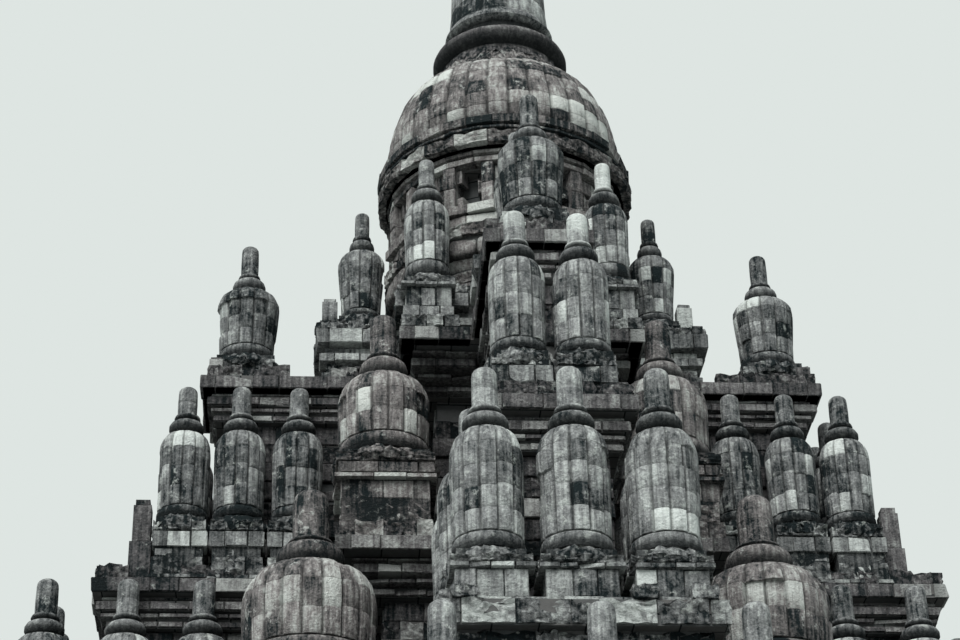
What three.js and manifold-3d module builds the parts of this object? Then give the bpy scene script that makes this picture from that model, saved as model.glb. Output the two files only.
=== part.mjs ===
// A Central Javanese Hindu temple tower of dark volcanic stone.
// Millimetres, +Z up, the doorway faces -Y, origin on the ground in the middle of the footprint.
import * as THREE from 'three';
import { mergeVertices } from 'three/addons/utils/BufferGeometryUtils.js';
import Module from 'manifold-3d';

const wasm = await Module();
wasm.setup();

// Levels from the ground up
const terraceTop = 2600;
const floorLevel = 3500;
const doorHeight = 3000;
const wallTop = 11400;
const mainCorniceTop = 12600;
const atticTop = 13500;
const stageATop = 17350;
const stageBTop = 21500;
const stageCTop = 22500;
const drumTop = 26200;
const bellTop = 28500;
const ringTop = 29250;
const spireTop = 32600;

// Widths that everything else follows
const joint = 0.3;
const doorHalf = 800;
const cellaHalf = 2600;
const porchHalf = 2400;
const porchFront = 10900;
const porchWallTop = 8600;
const porchRoofTop = 9400;
const stairHalf = 1500;
const stepRise = 200;
const stepRun = 300;
const cheekNose = 500;
const balustradeThickness = 450;
const balustradeHeight = 1150;
const balustradeInset = 250;
const copingHeight = 200;
const copingOverhang = 60;
const gateHalf = 1700;
const railSpacing = 2900;
const corniceOverhang = 400;
const wallNiche = { half: 620, bottom: 4600, top: 7000, depth: 450 };
const drumNiche = { width: 480, bottom: 24400, top: 25250, back: 1700 };

// Beyond every face of the building, for blocks that cut or divide a piece
const far = 20000;

// A cross-shaped plan: how far the side, front and back arms reach from the axis,
// half the width of the side arms and of the front and back arms, and the core's half sides.
const terracePlan = plan(11000, 13600, 11000, 5000, 4800, 10200, 10200);
const footPlan = plan(8000, 8300, 8000, 2700, 2900, 4900, 4900);
const wallPlan = plan(7600, 7900, 7600, 2300, 2600, 4500, 4500);
const cornicePlan = plan(7600, 8200, 7600, 2300, 2600, 4500, 4500);
const atticPlan = plan(8250, 9170, 8250, 2040, 1680, 4700, 4700);
const stageAPlan = plan(6650, 7330, 6650, 1020, 660, 2300, 2300);
const stageBPlan = plan(5050, 5250, 5050, 430, 430, 1400, 1400);
const crownPlan = plan(3300, 3150, 3150, 620, 620, 1900, 1900);
const mainCorniceGrowth = 1000;
const atticGrowth = 120;

const darkStone = stone(0x55565a);
const greyStone = stone(0x6f6d6b);
const brownStone = stone(0x7a7573);
const paleStone = stone(0x8d8d89);

// Each kind of ratna finial: the heights of its pedestal, seat, shoulder, ring and tip above the slab it
// stands on, its widest radius at the shoulder, and how much of that is left where the urn meets its seat
const rowRatna = ratnaKind(720, 1040, 2300, 2790, 3700, 490, 0.95);
const upperRowRatna = ratnaKind(1110, 1370, 2500, 2980, 3800, 430, 0.95);
const armRatna = ratnaKind(620, 880, 1900, 2260, 3150, 550, 0.86);
const crownArmRatna = ratnaKind(480, 720, 1780, 2160, 2960, 420, 0.82);
const drumRatna = ratnaKind(1070, 1420, 2420, 2880, 3700, 400, 0.93);
const upperSquat = ratnaKind(1560, 1910, 2700, 3340, 4450, 760, 0.96);
const lowerSquat = ratnaKind(1200, 1570, 2350, 3180, 4380, 1030, 0.96);
const porchRatna = ratnaKind(700, 1000, 2100, 2600, 3450, 480, 0.95);
const railFinial = { radius: 200, shoulder: 520, neck: 680, top: 1000 };

// Where the finials stand, measured from the temple's axis. On the side arms four stand abreast on the
// lower level and three on the upper one; on the narrower front and back arms it is three and two.
const rowSide = {
  endReach: 7730, endOffsets: [-1620, -540, 540, 1620],
  flankOffset: 1620, flankReaches: [6450, 5240],
};
const rowFront = {
  endReach: 8700, endOffsets: [-1170, 0, 1170],
  flankOffset: 1280, flankReaches: [7460, 6220],
};
const upperSide = {
  endReach: 5690, endOffsets: [-980, 0, 980],
  flankOffset: 980, flankReaches: [4745, 3785],
};
const upperFront = {
  endReach: 6620, endOffsets: [-480, 480],
  flankOffset: 480, flankReaches: [],
};
const lowerSquatReach = 3500;
const upperSquatReach = 2330;
const armRatnaReach = 4740;
const armRatnaFrontReach = 4860;
const crownArmRatnaReach = 2700;
const drumRatnaX = 1580;
const drumRatnaY = 2140;
const porchRatnaY = 10650;
const porchRatnaOffsets = [-1900, 0, 1900];

const temple = new THREE.Group();
const terraceFront = terracePlan.front;
const stairRun = (terraceTop / stepRise) * stepRun;
temple.position.y = (terraceFront + stairRun + cheekNose - terracePlan.back) / 2;

buildBase();
buildBody();
buildLowerRoof();
buildUpperRoof();
buildCrown();

export default temple;

// The terrace, its stair and the balustrade round the gallery
function buildBase() {
  const height = terraceTop;
  add('base_terrace', mouldedBlock(terracePlan, 0, [
    [0, 0], [450, 0], [450, -180], [700, -180], [700, -330], [height - 700, -330],
    [height - 700, -180], [height - 400, -180], [height - 400, 0], [height, 0],
  ]), darkStone);

  const stair = new THREE.Shape();
  stair.moveTo(-joint, 0);
  const steps = terraceTop / stepRise;
  stair.lineTo(-stepRun * steps, 0);
  for (let i = 0; i < steps; i += 1) {
    const run = -stepRun * (steps - i);
    stair.lineTo(run, stepRise * (i + 1));
    if (i < steps - 1) stair.lineTo(run + stepRun, stepRise * (i + 1));
  }
  stair.lineTo(-joint, terraceTop);
  add('front_stair', extrudeAcross(stair, -stairHalf + joint, stairHalf - joint, -terraceFront), greyStone);

  const cheek = new THREE.Shape();
  const noseRadius = 440;
  cheek.moveTo(-joint, 0);
  cheek.lineTo(-stairRun - cheekNose, 0);
  const noseCentre = -stairRun - cheekNose + noseRadius;
  cheek.absarc(noseCentre, noseRadius + 120, noseRadius, Math.PI, Math.PI * 0.3, true);
  cheek.quadraticCurveTo(-stairRun * 0.55, 1500, -700, terraceTop + 500);
  cheek.lineTo(-joint, terraceTop + 500);
  for (const [name, sign] of [['left', -1], ['right', 1]]) {
    const inner = sign * (stairHalf + joint);
    const outer = sign * (stairHalf + 650);
    add(`stair_cheek_${name}`,
      extrudeAcross(cheek, Math.min(inner, outer), Math.max(inner, outer), -terraceFront), darkStone);
  }
  buildBalustrade();
}

function buildBalustrade() {
  const innerInset = balustradeInset + balustradeThickness;
  const outer = grow(terracePlan, -balustradeInset);
  const inner = grow(terracePlan, -innerInset);
  const coping = grow(terracePlan, -balustradeInset + copingOverhang);
  const copingInner = grow(terracePlan, -innerInset - copingOverhang);
  const z = terraceTop + joint;
  const copingBase = z + balustradeHeight - copingHeight;
  const overlap = 1;
  let ring = band(outer, inner, z, copingBase);
  ring = ring.add(band(coping, copingInner, copingBase - overlap, z + balustradeHeight));
  const line = grow(terracePlan, -balustradeInset - balustradeThickness / 2);
  const finials = [];
  for (const [x, y] of alongOutline(line, railSpacing)) {
    finials.push(railFinialSolid(x, y, z + balustradeHeight - 4 * overlap));
  }
  ring = ring.subtract(boxSolid(-gateHalf, gateHalf, -far, 0, 0, far));
  const cut = 9000;
  const sections = [
    ['balustrade_left', -far, -cut, -far, far],
    ['balustrade_right', cut, far, -far, far],
    ['balustrade_back', -cut + joint, cut - joint, 0, far],
    ['balustrade_front_left', -cut + joint, 0, -far, 0],
    ['balustrade_front_right', 0, cut - joint, -far, 0],
  ];
  for (const [name, x0, x1, y0, y1] of sections) {
    let section = ring.intersect(boxSolid(x0, x1, y0, y1, 0, far));
    for (const finial of finials) {
      const box = finial.boundingBox();
      const x = (box.min[0] + box.max[0]) / 2;
      const y = (box.min[1] + box.max[1]) / 2;
      const insideGate = Math.abs(x) < gateHalf + railFinial.radius && y < 0;
      if (!insideGate && x > x0 && x < x1 && y > y0 && y < y1) section = section.add(finial);
    }
    add(name, section, greyStone);
  }
}

function railFinialSolid(x, y, z) {
  const { radius, shoulder, neck, top } = railFinial;
  return lathe([
    [0, 0], [radius * 0.75, 0], [radius, shoulder], [radius * 0.35, neck], [radius * 0.35, top], [0, top],
  ], 6).translate([x, y, z]);
}

// The hollow body: foot, walls round the cella, porch and doorway
function buildBody() {
  const footHeight = floorLevel - terraceTop - joint;
  let foot = mouldedBlock(footPlan, terraceTop + joint, [
    [0, 200], [300, 200], [300, 0], [600, 0], [600, 120], [footHeight, 120],
  ]);
  foot = foot.add(boxSolid(-porchHalf - 250, porchHalf + 250, -porchFront - 250, -7000,
    terraceTop + joint, floorLevel));
  const porchSteps = 4;
  const rise = (floorLevel - terraceTop) / (porchSteps + 1);
  for (let i = 0; i < porchSteps; i += 1) {
    const top = floorLevel - rise * (i + 1);
    const front = porchFront + 250 + 320 * (i + 1);
    foot = foot.add(boxSolid(-1250, 1250, -front, -porchFront, terraceTop + joint, top));
  }
  add('body_foot', foot, greyStone);

  const base = floorLevel + joint;
  const height = wallTop - base - joint;
  let body = mouldedBlock(wallPlan, base, [
    [0, 240], [350, 240], [350, 90], [700, 90], [700, 0], [4150, 0],
    [4150, 130], [4600, 130], [4600, 0], [height - 500, 0], [height - 500, 150], [height, 150],
  ]);
  const front = wallPlan.front;
  const porchFace = wallPlan.frontArm + 600;
  body = body.subtract(boxSolid(-porchFace, porchFace, -far, -front, 0, porchRoofTop + 60));
  body = body.subtract(boxSolid(-cellaHalf, cellaHalf, -cellaHalf, cellaHalf, 0, far));
  const doorTop = floorLevel + doorHeight;
  const { half, bottom, top, depth } = wallNiche;
  const nicheBack = wallPlan.side - depth;
  body = body.subtract(boxSolid(-far, -nicheBack, -half, half, bottom, top));
  body = body.subtract(boxSolid(nicheBack, far, -half, half, bottom, top));
  body = body.subtract(boxSolid(-half, half, wallPlan.back - depth, far, bottom, top));

  const gap = joint / 2;
  const walls = [
    ['wall_left', -far, -cellaHalf - gap, -far, far, 0, far],
    ['wall_right', cellaHalf + gap, far, -far, far, 0, far],
    ['wall_back', -cellaHalf + gap, cellaHalf - gap, 0, far, 0, far],
    ['wall_front_left', -cellaHalf + gap, -doorHalf, -far, 0, 0, far],
    ['wall_front_right', doorHalf, cellaHalf - gap, -far, 0, 0, far],
    ['wall_over_doorway', -doorHalf + joint, doorHalf - joint, -far, 0, doorTop, far],
  ];
  for (const [name, x0, x1, y0, y1, z0, z1] of walls) {
    add(name, body.intersect(boxSolid(x0, x1, y0, y1, z0, z1)), brownStone);
  }

  const porchBack = front + joint;
  for (const [name, sign] of [['left', -1], ['right', 1]]) {
    const inner = sign * doorHalf;
    const outer = sign * porchHalf;
    const x0 = Math.min(inner, outer);
    const x1 = Math.max(inner, outer);
    let wall = boxSolid(x0, x1, -porchFront, -porchBack, base, porchWallTop - joint);
    const plinth = boxSolid(Math.min(inner, outer + sign * 140), Math.max(inner, outer + sign * 140),
      -porchFront - 140, -porchBack, base, base + 450);
    wall = wall.add(plinth);
    add(`porch_wall_${name}`, wall, brownStone);
  }
  add('porch_lintel', boxSolid(-doorHalf + joint, doorHalf - joint, -porchFront, -porchBack,
    doorTop, porchWallTop - joint), brownStone);

  const frameFront = porchFront + 320;
  const frameBack = porchFront + joint;
  const frameSill = base + 450 + joint;
  let frame = boxSolid(-doorHalf - 420, doorHalf + 420, -frameFront, -frameBack, frameSill, doorTop + 420);
  frame = frame.subtract(boxSolid(-doorHalf, doorHalf, -frameFront - 10, -frameBack + 10, 0, doorTop));
  add('door_frame', frame, paleStone);
  add('kala_head', kalaHead(doorTop + 420 + joint, -frameBack), paleStone);

  let roof = mouldedBox(-porchHalf, porchHalf, -porchFront, -porchBack, porchWallTop, [
    [0, 60], [200, 60], [200, 180], [450, 180], [450, 330],
    [porchRoofTop - porchWallTop, 330],
  ]);
  roof = roof.intersect(boxSolid(-far, far, -far, -porchBack, 0, far));
  for (const x of porchRatnaOffsets) {
    roof = roof.add(ratnaSolid(porchRatna, x, -porchRatnaY, porchRoofTop, 6, false));
  }
  add('porch_roof', roof, greyStone);
}

// Carved guardian head over the door, a plain domed block with a brow, two eyes and a jaw
function kalaHead(z, backY) {
  const depth = 380;
  const width = 850;
  const browHeight = 700;
  let head = boxSolid(-width, width, backY - depth, backY, z, z + browHeight);
  const disc = new THREE.CylinderGeometry(width, width, depth, 20);
  const brow = placed(disc, 0, backY - depth / 2, z + browHeight);
  const above = boxSolid(-width, width, backY - depth, backY, z, z + 2 * browHeight + width);
  head = head.add(brow.intersect(above));
  for (const x of [-380, 380]) {
    head = head.add(placed(new THREE.SphereGeometry(200, 10, 6), x, backY - depth, z + 850));
  }
  return head.add(placed(new THREE.SphereGeometry(240, 10, 6), 0, backY - depth, z + 500));
}

// The main cornice over the walls, the narrower attic on it, and the finials that stand on the attic
function buildLowerRoof() {
  const height = mainCorniceTop - wallTop;
  const cornice = mouldedBlock(cornicePlan, wallTop, [
    [0, 150], [240, 150], [240, 400], [400, 400], [400, 250], [560, 250],
    [560, 650], [780, 650], [780, 500], [920, 500], [920, mainCorniceGrowth], [height, mainCorniceGrowth],
  ], [-700, 0]);
  add('main_cornice', cornice, darkStone);

  const slab = 360;
  const atticHeight = atticTop - mainCorniceTop;
  add('attic_course', mouldedBlock(atticPlan, mainCorniceTop + joint, [
    [0, 60], [260, 60], [260, -60], [atticHeight - slab, -60], [atticHeight - slab, atticGrowth],
    [atticHeight - joint, atticGrowth],
  ]), darkStone);

  const z = atticTop + joint;
  finialRow('left_finial_row', z, rowRatna, 'left', rowSide);
  finialRow('right_finial_row', z, rowRatna, 'right', rowSide);
  finialRow('back_finial_row', z, rowRatna, 'back', atTheBack(rowFront, atticPlan));
  finialRow('front_finial_row', z, rowRatna, 'front', rowFront);
  cornerFinials('lower_corner_finial', z, lowerSquat, lowerSquatReach);
}

// The two stepped, cross-shaped stages over the attic
function buildUpperRoof() {
  const heightA = stageATop - atticTop;
  add('roof_stage_lower', mouldedBlock(stageAPlan, atticTop + joint,
    stageProfile(heightA - joint), [0, 400]), darkStone);
  const z = stageATop + joint;
  finialRow('upper_left_finial_row', z, upperRowRatna, 'left', upperSide);
  finialRow('upper_right_finial_row', z, upperRowRatna, 'right', upperSide);
  finialRow('upper_back_finial_row', z, upperRowRatna, 'back', atTheBack(upperFront, stageAPlan));
  finialRow('upper_front_finial_row', z, upperRowRatna, 'front', upperFront);
  cornerFinials('upper_corner_finial', z, upperSquat, upperSquatReach);

  const heightB = stageBTop - stageATop;
  const stageB = mouldedBlock(stageBPlan, stageATop + joint,
    stageProfile(heightB - joint), [0, 250], 800);
  add('roof_stage_upper', stageB, darkStone);
  const top = stageBTop + joint;
  add('left_arm_finial', ratnaSolid(armRatna, -armRatnaReach, 0, top, 8, false), greyStone);
  add('right_arm_finial', ratnaSolid(armRatna, armRatnaReach, 0, top, 8, false), greyStone);
  add('front_arm_finial', ratnaSolid(armRatna, 0, -armRatnaFrontReach, top, 8, false), greyStone);
  add('back_arm_finial', ratnaSolid(armRatna, 0, armRatnaReach, top, 8, false), greyStone);
}

// The top terrace with its small finials, then the giant crowning ratna
function buildCrown() {
  const base = stageBTop + joint;
  const height = stageCTop - base;
  let terrace = mouldedBlock(crownPlan, base, [
    [0, 60], [180, 60], [180, 0], [380, 0], [380, 100], [560, 100], [560, 20],
    [700, 20], [700, 200], [height, 200],
  ]);
  for (const sign of [-1, 1]) {
    terrace = terrace.add(ratnaSolid(crownArmRatna, sign * crownArmRatnaReach, 0, stageCTop - 2, 8, true));
    terrace = terrace.add(ratnaSolid(crownArmRatna, 0, sign * crownArmRatnaReach, stageCTop - 2, 8, true));
    for (const y of [-drumRatnaY, drumRatnaY]) {
      terrace = terrace.add(ratnaSolid(drumRatna, sign * drumRatnaX, y, base, 8, false));
    }
  }
  add('crown_terrace', terrace, greyStone);

  const drumBase = stageCTop + joint;
  let drum = lathe([
    [0, drumBase], [2080, drumBase], [2080, drumBase + 600], [2000, drumBase + 600],
    [2180, drumBase + 1100], [2180, drumBase + 1450], [1980, drumBase + 1700], [1980, drumTop - 900],
    [2120, drumTop - 900], [2120, drumTop - 620], [2250, drumTop - 620], [2250, drumTop],
    [0, drumTop],
  ], 24);
  const { width, bottom, top, back } = drumNiche;
  for (let i = 0; i < 8; i += 1) {
    const reach = 900;
    const cutter = new THREE.BoxGeometry(width, reach, top - bottom);
    cutter.translate(0, -back - reach / 2, (top + bottom) / 2);
    cutter.rotateZ((i + 0.5) * Math.PI / 4);
    drum = drum.subtract(solid(cutter));
  }
  add('crown_drum', drum, brownStone);

  const bellBase = drumTop + joint;
  add('crown_bell', lathe([
    [0, bellBase], [2080, bellBase], [2080, bellBase + 90], [2220, bellBase + 130], [2200, bellBase + 600],
    [2110, bellBase + 1000], [1900, bellBase + 1550], [1770, bellBase + 1720], [1590, bellBase + 1850],
    [1360, bellBase + 1940], [1260, bellTop], [0, bellTop],
  ], 20), brownStone);
  const ringBase = bellTop + joint;
  add('crown_ring', lathe([
    [0, ringBase], [1180, ringBase], [1160, ringBase + 240], [1280, ringBase + 320], [1330, ringBase + 450],
    [1280, ringBase + 580], [1120, ringBase + 650], [960, ringBase + 660], [960, ringTop], [0, ringTop],
  ], 16), darkStone);
  const spireBase = ringTop + joint;
  add('crown_spire', lathe([
    [0, spireBase], [940, spireBase], [940, spireBase + 230], [1080, spireBase + 290],
    [1080, spireBase + 350], [990, spireBase + 520], [960, spireBase + 800],
    [880, spireTop - 450], [760, spireTop - 170], [450, spireTop], [0, spireTop],
  ], 16), greyStone);
}

// The back arm repeats the front one, set back by as much as its plan is shorter
function atTheBack(spots, armPlan) {
  const shorter = armPlan.front - armPlan.back;
  return {
    ...spots,
    endReach: spots.endReach - shorter,
    flankReaches: spots.flankReaches.map((reach) => reach - shorter),
  };
}

// Finials round the end of one arm, joined by the kerb course that carries them
function finialRow(name, z, kind, side, { endReach, endOffsets, flankOffset, flankReaches }) {
  const kerb = 220;
  const half = kind.radius * 1.02;
  const endSpan = Math.max(flankOffset, ...endOffsets) + half;
  let row = boxSolid(-endSpan, endSpan, -endReach - half, -endReach + half, z, z + kerb);
  for (const x of endOffsets) row = row.add(ratnaSolid(kind, x, -endReach, z, 6, true));
  for (const reach of flankReaches) {
    for (const x of [-flankOffset, flankOffset]) {
      row = row.add(boxSolid(x - half, x + half, -endReach, -reach + half, z, z + kerb));
      row = row.add(ratnaSolid(kind, x, -reach, z, 6, true));
    }
  }
  add(name, turned(row, side), greyStone);
}

function cornerFinials(name, z, kind, reach) {
  for (const [front, sy] of [['front', -1], ['back', 1]]) {
    for (const [side, sx] of [['left', -1], ['right', 1]]) {
      const finial = ratnaSolid(kind, sx * reach, sy * reach, z, 8, false);
      add(`${name}_${front}_${side}`, finial, brownStone);
    }
  }
}

function ratnaKind(pedestal, seat, shoulder, ring, top, radius, foot) {
  return { pedestal, seat, shoulder, ring, top, radius, foot };
}

// A square pedestal under a ribbed urn, a ring and a round-topped spire.
// A plain one, for the long rows, has its seat and ring drawn with fewer steps.
function ratnaSolid(kind, x, y, z, sides, plain) {
  const r = kind.radius / Math.sqrt(Math.cos(Math.PI / sides));
  const half = kind.radius * 0.96;
  const ringHalf = kind.radius * 0.27;
  const squat = kind.radius > 700;
  const ringRadius = r * (squat ? 0.5 : 0.6);
  const spireRadius = r * (squat ? 0.31 : 0.35);
  const seatRadius = r * kind.foot;
  const points = [[0, kind.pedestal - 4], [seatRadius, kind.pedestal - 4]];
  if (!plain) points.push([seatRadius, kind.seat - 40], [seatRadius * 0.98, kind.seat]);
  points.push([r, kind.shoulder]);
  if (!plain) points.push([r * 0.84, (kind.shoulder + kind.ring - ringHalf) / 2]);
  points.push([r * 0.5, kind.ring - ringHalf]);
  if (plain) points.push([ringRadius, kind.ring]);
  else points.push([ringRadius, kind.ring - ringHalf * 0.5], [ringRadius, kind.ring + ringHalf * 0.5]);
  points.push([spireRadius, kind.ring + ringHalf], [spireRadius * 0.92, kind.top], [0, kind.top]);
  const urn = lathe(points, sides).translate([x, y, z]);
  const pedestal = boxSolid(x - half, x + half, y - half, y + half, z, z + kind.pedestal);
  return pedestal.add(urn);
}

// Base and cornice courses that every roof stage shares, as [height, outward step]
function stageProfile(height) {
  const slab = corniceOverhang;
  return [
    [0, 60], [250, 60], [250, 20], [450, 20], [450, 0], [height - 800, 0],
    [height - 800, 0.4 * slab], [height - 530, 0.4 * slab], [height - 530, 0.65 * slab],
    [height - 350, 0.65 * slab], [height - 350, 0.45 * slab], [height - 250, 0.45 * slab],
    [height - 250, slab], [height, slab],
  ];
}

function stone(color) {
  return new THREE.MeshStandardMaterial({ color, roughness: 0.95, metalness: 0 });
}

function plan(side, front, back, sideArm, frontArm, coreX, coreY) {
  return { side, front, back, sideArm, frontArm, coreX, coreY };
}

function grow(p, step, coreStep = 0, coreStepY = coreStep) {
  return plan(p.side + step, p.front + step, p.back + step, p.sideArm + step, p.frontArm + step,
    p.coreX + step + coreStep, p.coreY + step + coreStepY);
}

function outlinePoints(p) {
  return [
    [p.side, -p.sideArm], [p.side, p.sideArm], [p.coreX, p.sideArm], [p.coreX, p.coreY],
    [p.frontArm, p.coreY], [p.frontArm, p.back], [-p.frontArm, p.back], [-p.frontArm, p.coreY],
    [-p.coreX, p.coreY], [-p.coreX, p.sideArm], [-p.side, p.sideArm], [-p.side, -p.sideArm],
    [-p.coreX, -p.sideArm], [-p.coreX, -p.coreY], [-p.frontArm, -p.coreY], [-p.frontArm, -p.front],
    [p.frontArm, -p.front], [p.frontArm, -p.coreY], [p.coreX, -p.coreY], [p.coreX, -p.sideArm],
  ];
}

// A closed stack of moulding courses round a cross-shaped plan.
// Each course is [height, outward step]; the core may step out further at the top slab.
function mouldedBlock(p, z, courses, coreSteps = [0, 0], coreTopY = coreSteps[1]) {
  const last = courses[courses.length - 1][1];
  const rings = courses.map(([height, step]) => {
    const top = step === last && height >= courses[courses.length - 2][0];
    const growth = top ? grow(p, step, coreSteps[1], coreTopY) : grow(p, step, coreSteps[0]);
    return { height: z + height, points: outlinePoints(growth) };
  });
  return ringStack(rings);
}

function mouldedBox(x0, x1, y0, y1, z, courses) {
  const rings = courses.map(([height, step]) => ({
    height: z + height,
    points: [[x0 - step, y0 - step], [x1 + step, y0 - step], [x1 + step, y1 + step], [x0 - step, y1 + step]],
  }));
  return ringStack(rings);
}

function ringStack(rings) {
  const count = rings[0].points.length;
  const positions = [];
  for (const ring of rings) {
    for (const [x, y] of ring.points) positions.push(x, y, ring.height);
  }
  const index = [];
  for (let level = 0; level < rings.length - 1; level += 1) {
    for (let i = 0; i < count; i += 1) {
      const a = level * count + i;
      const b = level * count + (i + 1) % count;
      index.push(a, b, b + count, a, b + count, a + count);
    }
  }
  const cap = (ring, offset, up) => {
    const flat = ring.points.map(([x, y]) => new THREE.Vector2(x, y));
    for (const [a, b, c] of THREE.ShapeUtils.triangulateShape(flat, [])) {
      if (up) index.push(offset + a, offset + b, offset + c);
      else index.push(offset + a, offset + c, offset + b);
    }
  };
  cap(rings[0], 0, false);
  cap(rings[rings.length - 1], (rings.length - 1) * count, true);
  const geometry = new THREE.BufferGeometry();
  geometry.setAttribute('position', new THREE.Float32BufferAttribute(positions, 3));
  geometry.setIndex(index);
  return solid(geometry);
}

// A wall that follows the plan's outline, between an outer and an inner plan
function band(outer, inner, z0, z1) {
  const shape = new THREE.Shape(outlinePoints(outer).map(([x, y]) => new THREE.Vector2(x, y)));
  shape.holes.push(new THREE.Path(outlinePoints(inner).map(([x, y]) => new THREE.Vector2(x, y))));
  const geometry = new THREE.ExtrudeGeometry(shape, { depth: z1 - z0, bevelEnabled: false });
  geometry.translate(0, 0, z0);
  return solid(geometry);
}

// Evenly spaced spots along an outline, kept off its corners
function alongOutline(p, spacing) {
  const points = outlinePoints(p);
  const spots = [];
  for (let i = 0; i < points.length; i += 1) {
    const [x0, y0] = points[i];
    const [x1, y1] = points[(i + 1) % points.length];
    const length = Math.hypot(x1 - x0, y1 - y0);
    const count = Math.round(length / spacing);
    for (let k = 0; k < count; k += 1) {
      const t = (k + 0.5) / count;
      spots.push([x0 + (x1 - x0) * t, y0 + (y1 - y0) * t]);
    }
  }
  return spots;
}

function extrudeAcross(shape, x0, x1, y) {
  const depth = x1 - x0;
  const geometry = new THREE.ExtrudeGeometry(shape, { depth, bevelEnabled: false, curveSegments: 6 });
  const place = new THREE.Matrix4().set(0, 0, 1, x0, 1, 0, 0, y, 0, 1, 0, 0, 0, 0, 0, 1);
  geometry.applyMatrix4(place);
  return solid(geometry);
}

function placed(geometry, x, y, z) {
  geometry.translate(x, y, z);
  return solid(geometry);
}

function lathe(points, sides) {
  const geometry = new THREE.LatheGeometry(points.map(([r, z]) => new THREE.Vector2(r, z)), sides);
  geometry.rotateX(Math.PI / 2);
  geometry.rotateZ(Math.PI / sides);
  return solid(geometry);
}

function boxSolid(x0, x1, y0, y1, z0, z1) {
  const geometry = new THREE.BoxGeometry(x1 - x0, y1 - y0, z1 - z0);
  geometry.translate((x0 + x1) / 2, (y0 + y1) / 2, (z0 + z1) / 2);
  return solid(geometry);
}

function turned(shape, side) {
  const quarterTurns = { front: 0, right: 90, back: 180, left: 270 };
  return shape.rotate([0, 0, quarterTurns[side]]);
}

function solid(geometry) {
  geometry.deleteAttribute('normal');
  geometry.deleteAttribute('uv');
  const merged = mergeVertices(geometry, 0.01);
  const index = [];
  for (let i = 0; i < merged.index.count; i += 3) {
    const corners = [0, 1, 2].map((k) => merged.index.getX(i + k));
    if (new Set(corners).size === 3) index.push(...corners);
  }
  return new wasm.Manifold(new wasm.Mesh({
    numProp: 3,
    vertProperties: Float32Array.from(merged.attributes.position.array),
    triVerts: Uint32Array.from(index),
  }));
}

function add(name, shape, material) {
  const mesh = shape.getMesh();
  const geometry = new THREE.BufferGeometry();
  geometry.setAttribute('position', new THREE.BufferAttribute(mesh.vertProperties, 3));
  geometry.setIndex(new THREE.BufferAttribute(mesh.triVerts, 1));
  geometry.computeVertexNormals();
  const node = new THREE.Mesh(geometry, material);
  node.name = name;
  temple.add(node);
}
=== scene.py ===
import math
import random

import bpy
import numpy as np
from mathutils import Matrix, Vector


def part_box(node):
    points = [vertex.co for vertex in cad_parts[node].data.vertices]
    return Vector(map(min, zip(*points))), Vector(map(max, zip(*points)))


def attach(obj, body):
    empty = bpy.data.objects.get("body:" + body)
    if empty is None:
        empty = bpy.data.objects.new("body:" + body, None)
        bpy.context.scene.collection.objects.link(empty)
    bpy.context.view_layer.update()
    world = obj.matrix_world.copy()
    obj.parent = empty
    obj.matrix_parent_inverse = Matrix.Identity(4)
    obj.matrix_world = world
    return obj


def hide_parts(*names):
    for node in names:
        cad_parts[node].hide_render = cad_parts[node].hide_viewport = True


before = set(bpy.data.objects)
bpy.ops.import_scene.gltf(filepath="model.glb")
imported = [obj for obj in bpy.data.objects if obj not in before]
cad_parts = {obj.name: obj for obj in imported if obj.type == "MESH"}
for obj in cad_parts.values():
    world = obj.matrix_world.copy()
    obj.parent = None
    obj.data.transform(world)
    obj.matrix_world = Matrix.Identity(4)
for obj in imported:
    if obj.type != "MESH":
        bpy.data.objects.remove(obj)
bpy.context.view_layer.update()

# The view: an eye-height stand on the ground before the stair, a little left of the doorway,
# looking up at the roof through a long lens that is held slightly out of level.
spire_low, spire_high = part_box("crown_spire")
axis_y = (spire_low.y + spire_high.y) / 2
camera_place = Vector((-3.375, axis_y - 35.839, 1.6))
camera_yaw, camera_pitch, camera_roll = (math.radians(angle) for angle in (4.569, 31.011, 1.431))
forward = Vector((math.sin(camera_yaw) * math.cos(camera_pitch),
                  math.cos(camera_yaw) * math.cos(camera_pitch), math.sin(camera_pitch)))
level_right = Vector((math.cos(camera_yaw), -math.sin(camera_yaw), 0))
level_up = level_right.cross(forward)
camera_right = level_right * math.cos(camera_roll) - level_up * math.sin(camera_roll)
camera_up = level_right * math.sin(camera_roll) + level_up * math.cos(camera_roll)
camera = bpy.data.objects.new("camera", bpy.data.cameras.new("camera"))
bpy.context.scene.collection.objects.link(camera)
turn_to_view = Matrix((camera_right, camera_up, -forward)).transposed().to_4x4()
camera.matrix_world = Matrix.Translation(camera_place) @ turn_to_view
camera.data.sensor_width = 36
camera.data.lens = 85.83
camera.data.clip_end = 500
bpy.context.scene.camera = camera

# The terrace: a wide platform of dressed andesite blocks, laid dry in courses that step in and out
# as base, band and cornice mouldings. Rain has left it streaked nearly black, with pale lichen.
chance = random.Random(9)
joint_width = 0.012
stone_length, stone_height, stone_depth = 0.5, 0.3, 0.25
upward = np.array((0.0, 0.0, 1.0))


def linear(code):
    """An sRGB hex colour as linear red, green, blue and alpha."""
    channels = [int(code[i:i + 2], 16) / 255 for i in (1, 3, 5)]
    return [c / 12.92 if c <= 0.04045 else ((c + 0.055) / 1.055) ** 2.4 for c in channels] + [1.0]


def add_node(tree, kind, values=None, links=None, **settings):
    """A shader node with its settings, the values of its inputs and what is linked to them. Gives its
    outputs."""
    node = tree.nodes.new(kind)
    for key, value in settings.items():
        setattr(node, key, value)
    for key, value in (values or {}).items():
        node.inputs[key].default_value = value
    for key, socket in (links or {}).items():
        tree.links.new(socket, node.inputs[key])
    return node.outputs


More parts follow.
